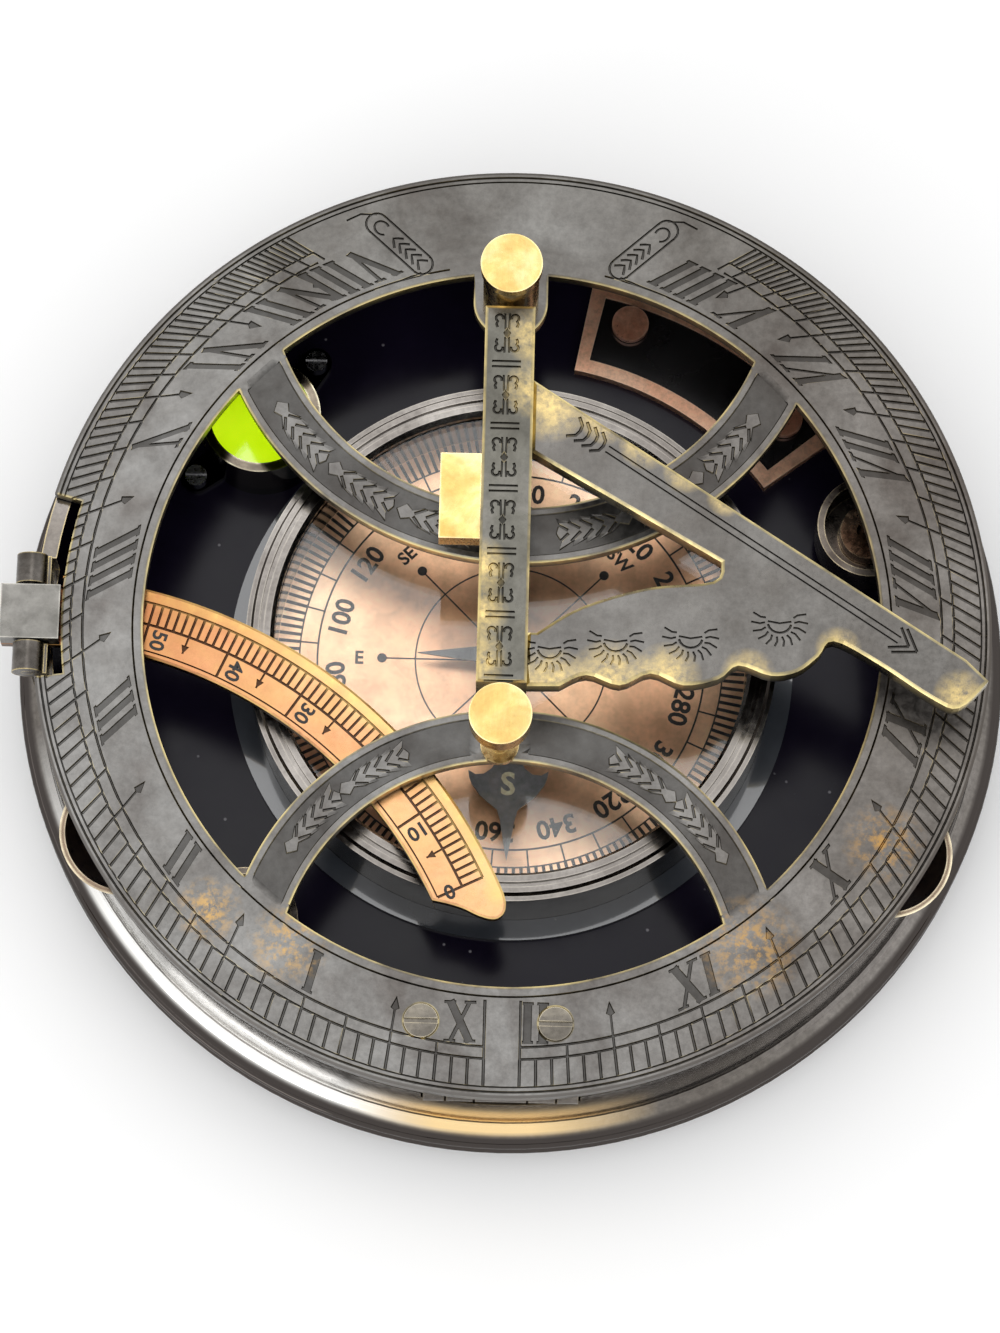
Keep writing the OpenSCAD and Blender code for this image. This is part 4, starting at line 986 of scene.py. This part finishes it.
plate_bronze = metal("plate_bronze", ((0.115, 0.105, 0.095), (0.16, 0.152, 0.142), (0.22, 0.212, 0.2)),
                     (0.95, 0.78, 0.36), (0.24, 0.4), patch=60, relief_top=plate_high[2], patina=0.75,
                     spots=gold_spots, spot_tone=(0.85, 0.64, 0.26), spot_fleck=gold_fleck, wear=0.95)
relief("gnomon_plate_engraved", plate_shapes, plate_solid, plate_level, plate_high[2], plate_low[2], 0.3,
       plate_bronze, "gnomon", ("gnomon_plate",))

# Gnomon stop
# A bright brass tab brazed to the bar stops the gnomon upright. Brass pins at the bar's ends turn in the
# posts.

stop_brass = metal("stop_brass", ((0.6, 0.4, 0.12), (0.74, 0.54, 0.2), (0.9, 0.74, 0.38)), (1.0, 0.9, 0.6),
                   (0.2, 0.38), patch=190, grain=700, edge_radius=0.4, bump=0.35)
dress(stop_brass, "gnomon_stop")
dress(post_brass, "gnomon_pivots")

# Latitude arc
# A flat copper-coloured quadrant hinged at the case's side slides under the ring to set its tilt. Its
# scale of degrees is engraved and blacked, and its outer edge is worn to gold.

arc_low, arc_high = box_mm("latitude_arc")
arc_centre = np.array([-60.4, -60.0])
arc_in, arc_out = 57.1, 65.6
latitude_zero, last_latitude = 26, 62
arc_line_r, arc_cell_in, arc_cell_out = 57.85, 61.3, 64.0
tip_curve = ((57.1, 26.0), (58.6, 24.9), (60.2, 23.6), (61.8, 22.0), (63.4, 21.1), (64.7, 21.4),
             (65.4, 22.4), (65.6, 23.6))
tongue = np.array([[-64, -3.5], [-54.7, -3.5], [-54.7, 3.5], [-64, 3.5]])
arc_cut_x = -56.6
arc_slope = 0.05


def arc_point(radius, latitude):
    """A point of the scale from its radius and its latitude in degrees."""
    return arc_centre + at_angle(radius, latitude_zero + latitude)


def arc_solid(kind):
    """Metal is the band up to the case's wall, and the tongue that reaches the hinge."""
    return "tongue" in kind or "band" in kind and "beyond" not in kind


tip = smooth([at_angle(radius, degrees) for radius, degrees in tip_curve])
sweep = round_points(np.radians(np.linspace(tip_curve[-1][1], 91, 46))[1:])
arc_outline = wound(np.concatenate([tip, sweep * arc_out, sweep[::-1] * arc_in]) + arc_centre)
arc_shapes = [("band", arc_outline), ("rim", inset(arc_outline, 0.3)), ("tongue", tongue),
              ("rim", inset(tongue, 0.3)),
              ("beyond", [(-80, -20), (arc_cut_x, -20), (arc_cut_x, 20), (-80, 20)])]
for radius, width in ((arc_line_r, 0.2), (arc_cell_in - 0.1, 0.34), (arc_cell_out, 0.3)):
    line = arc_strip(arc_centre, radius - width / 2, radius + width / 2, latitude_zero, 90, 1)
    arc_shapes += engraved(line, arc_slope)
for latitude in range(last_latitude + 1):
    inner_r = arc_line_r if latitude % 10 == 0 else arc_cell_in
    line = bar(arc_point(inner_r, latitude), arc_point(arc_cell_out, latitude), 0.36)
    arc_shapes += engraved(line, arc_slope)
    if latitude % 10 == 5:
        tip_point = arc_point(58.9, latitude)
        arc_shapes += engraved(bar(arc_point(arc_cell_in, latitude), tip_point, 0.26), arc_slope)
        head = [tip_point, arc_point(60.0, latitude + 0.5), arc_point(60.0, latitude - 0.5)]
        arc_shapes += engraved(head, arc_slope)
edge_spots = [(*arc_point(arc_out, latitude), 2.6) for latitude in range(-2, 60, 3)]
arc_copper = metal("arc_copper", ((0.5, 0.22, 0.11), (0.68, 0.34, 0.18), (0.84, 0.48, 0.27)),
                   (0.9, 0.66, 0.24), (0.24, 0.38), patch=60, relief_top=arc_high[2], patina=0.9, bump=0.05,
                   wear=0.9, spots=edge_spots, spot_tone=(0.8, 0.56, 0.2), spot_fleck=(0.2, 0.6))
overlay(arc_copper, (("X", -20, -50),), (0.62, 0.46, 0.38), "MULTIPLY")
relief("latitude_arc_engraved", arc_shapes, arc_solid, plate_level, arc_high[2], arc_low[2], 0.16, arc_copper,
       "arc", ("latitude_arc",))
arc_figure_r, arc_figure_h, arc_figure_shift = 59.5, 1.9, 1.7
arc_words = []
for latitude in range(0, 60, 10):
    middle = latitude - arc_figure_shift if latitude else 0.0
    turn = latitude_zero + middle + 180
    arc_words.append((str(latitude), *arc_point(arc_figure_r, middle), turn, arc_figure_h))
figures("arc_figures", arc_words, arc_high[2] + print_gap, ink_t, card_ink, "arc")

# Arc hinge
# A dark bracket let into the case's side holds the arc's pin, and the arc ends in a steel block that is
# brazed to its tongue.

bracket_bronze = metal("bracket_bronze", ((0.05, 0.045, 0.04), (0.1, 0.09, 0.08), (0.18, 0.165, 0.15)), BRASS,
                       (0.2, 0.36), patch=200, edge_radius=0.3)
dress(bracket_bronze, "arc_hinge_bracket", "arc_hinge_pin")
block_steel = metal("block_steel", ((0.15, 0.145, 0.13), (0.22, 0.212, 0.196), (0.3, 0.29, 0.27)),
                    (0.7, 0.67, 0.6), (0.24, 0.42), patch=160, edge_radius=0.35)
dress(block_steel, "arc_root_block")

# Floor
# The dial stands on a plain white sweep.

reach = 3.0
ground = bpy.data.meshes.new("ground")
corners = [(-reach, -reach, 0), (reach, -reach, 0), (reach, reach, 0), (-reach, reach, 0)]
ground.from_pydata(corners, [], [(0, 1, 2, 3)])
ground_piece = bpy.data.objects.new("ground", ground)
bpy.context.scene.collection.objects.link(ground_piece)
paper, paper_tree, paper_shader, _ = blank("white_paper")
feed(paper_tree, paper_shader, {"Base Color": (0.94, 0.94, 0.94, 1), "Roughness": 0.9})
ground.materials.append(paper)

# Light
# A white room lights everything evenly. A large soft panel over the dial gives the flat metal its sheen,
# and a low panel at the front left lights the wall.

room = bpy.data.worlds.new("room")
bpy.context.scene.world = room
room.use_nodes = True
feed(room.node_tree, room.node_tree.nodes["Background"], {"Color": (1, 1, 1, 1), "Strength": 1.1})
bpy.context.scene.view_settings.view_transform = "Standard"


def soft_panel(name, place, aim, size, power):
    """A square area light turned to face a point."""
    lamp = bpy.data.lights.new(name, "AREA")
    lamp.size = size
    lamp.energy = power
    lit = bpy.data.objects.new(name, lamp)
    bpy.context.scene.collection.objects.link(lit)
    lit.location = place
    lit.rotation_euler = (Vector(aim) - Vector(place)).to_track_quat("-Z", "Y").to_euler()


soft_panel("overhead_panel", (-0.05, 0.27, 0.9), (0, 0, 0.03), 0.3, 0.4)
soft_panel("front_left_panel", (-0.6, -0.7, 0.35), (0, 0, 0.02), 0.5, 1.8)

# Camera
# A long lens looks down from the noon side at 75 degrees, turned a little on its axis.

camera_lens = bpy.data.cameras.new("camera")
camera_lens.lens = 130
camera_lens.sensor_width = 36
camera_lens.clip_start = 0.01
camera_lens.clip_end = 20
camera = bpy.data.objects.new("camera", camera_lens)
bpy.context.scene.collection.objects.link(camera)
bpy.context.scene.camera = camera
elevation, roll, distance = math.radians(75), math.radians(1.45), 0.6
target = Vector((-0.0014, -0.0056, 0.0273))
place = target + distance * Vector((0, -math.cos(elevation), math.sin(elevation)))
ahead = (target - place).normalized()
right = ahead.cross(Vector((0, 0, 1))).normalized()
up = right.cross(ahead)
turned_right = right * math.cos(roll) + up * math.sin(roll)
turned_up = up * math.cos(roll) - right * math.sin(roll)
turned_axes = Matrix((turned_right, turned_up, -ahead)).transposed().to_4x4()
camera.matrix_world = Matrix.Translation(place) @ turned_axes
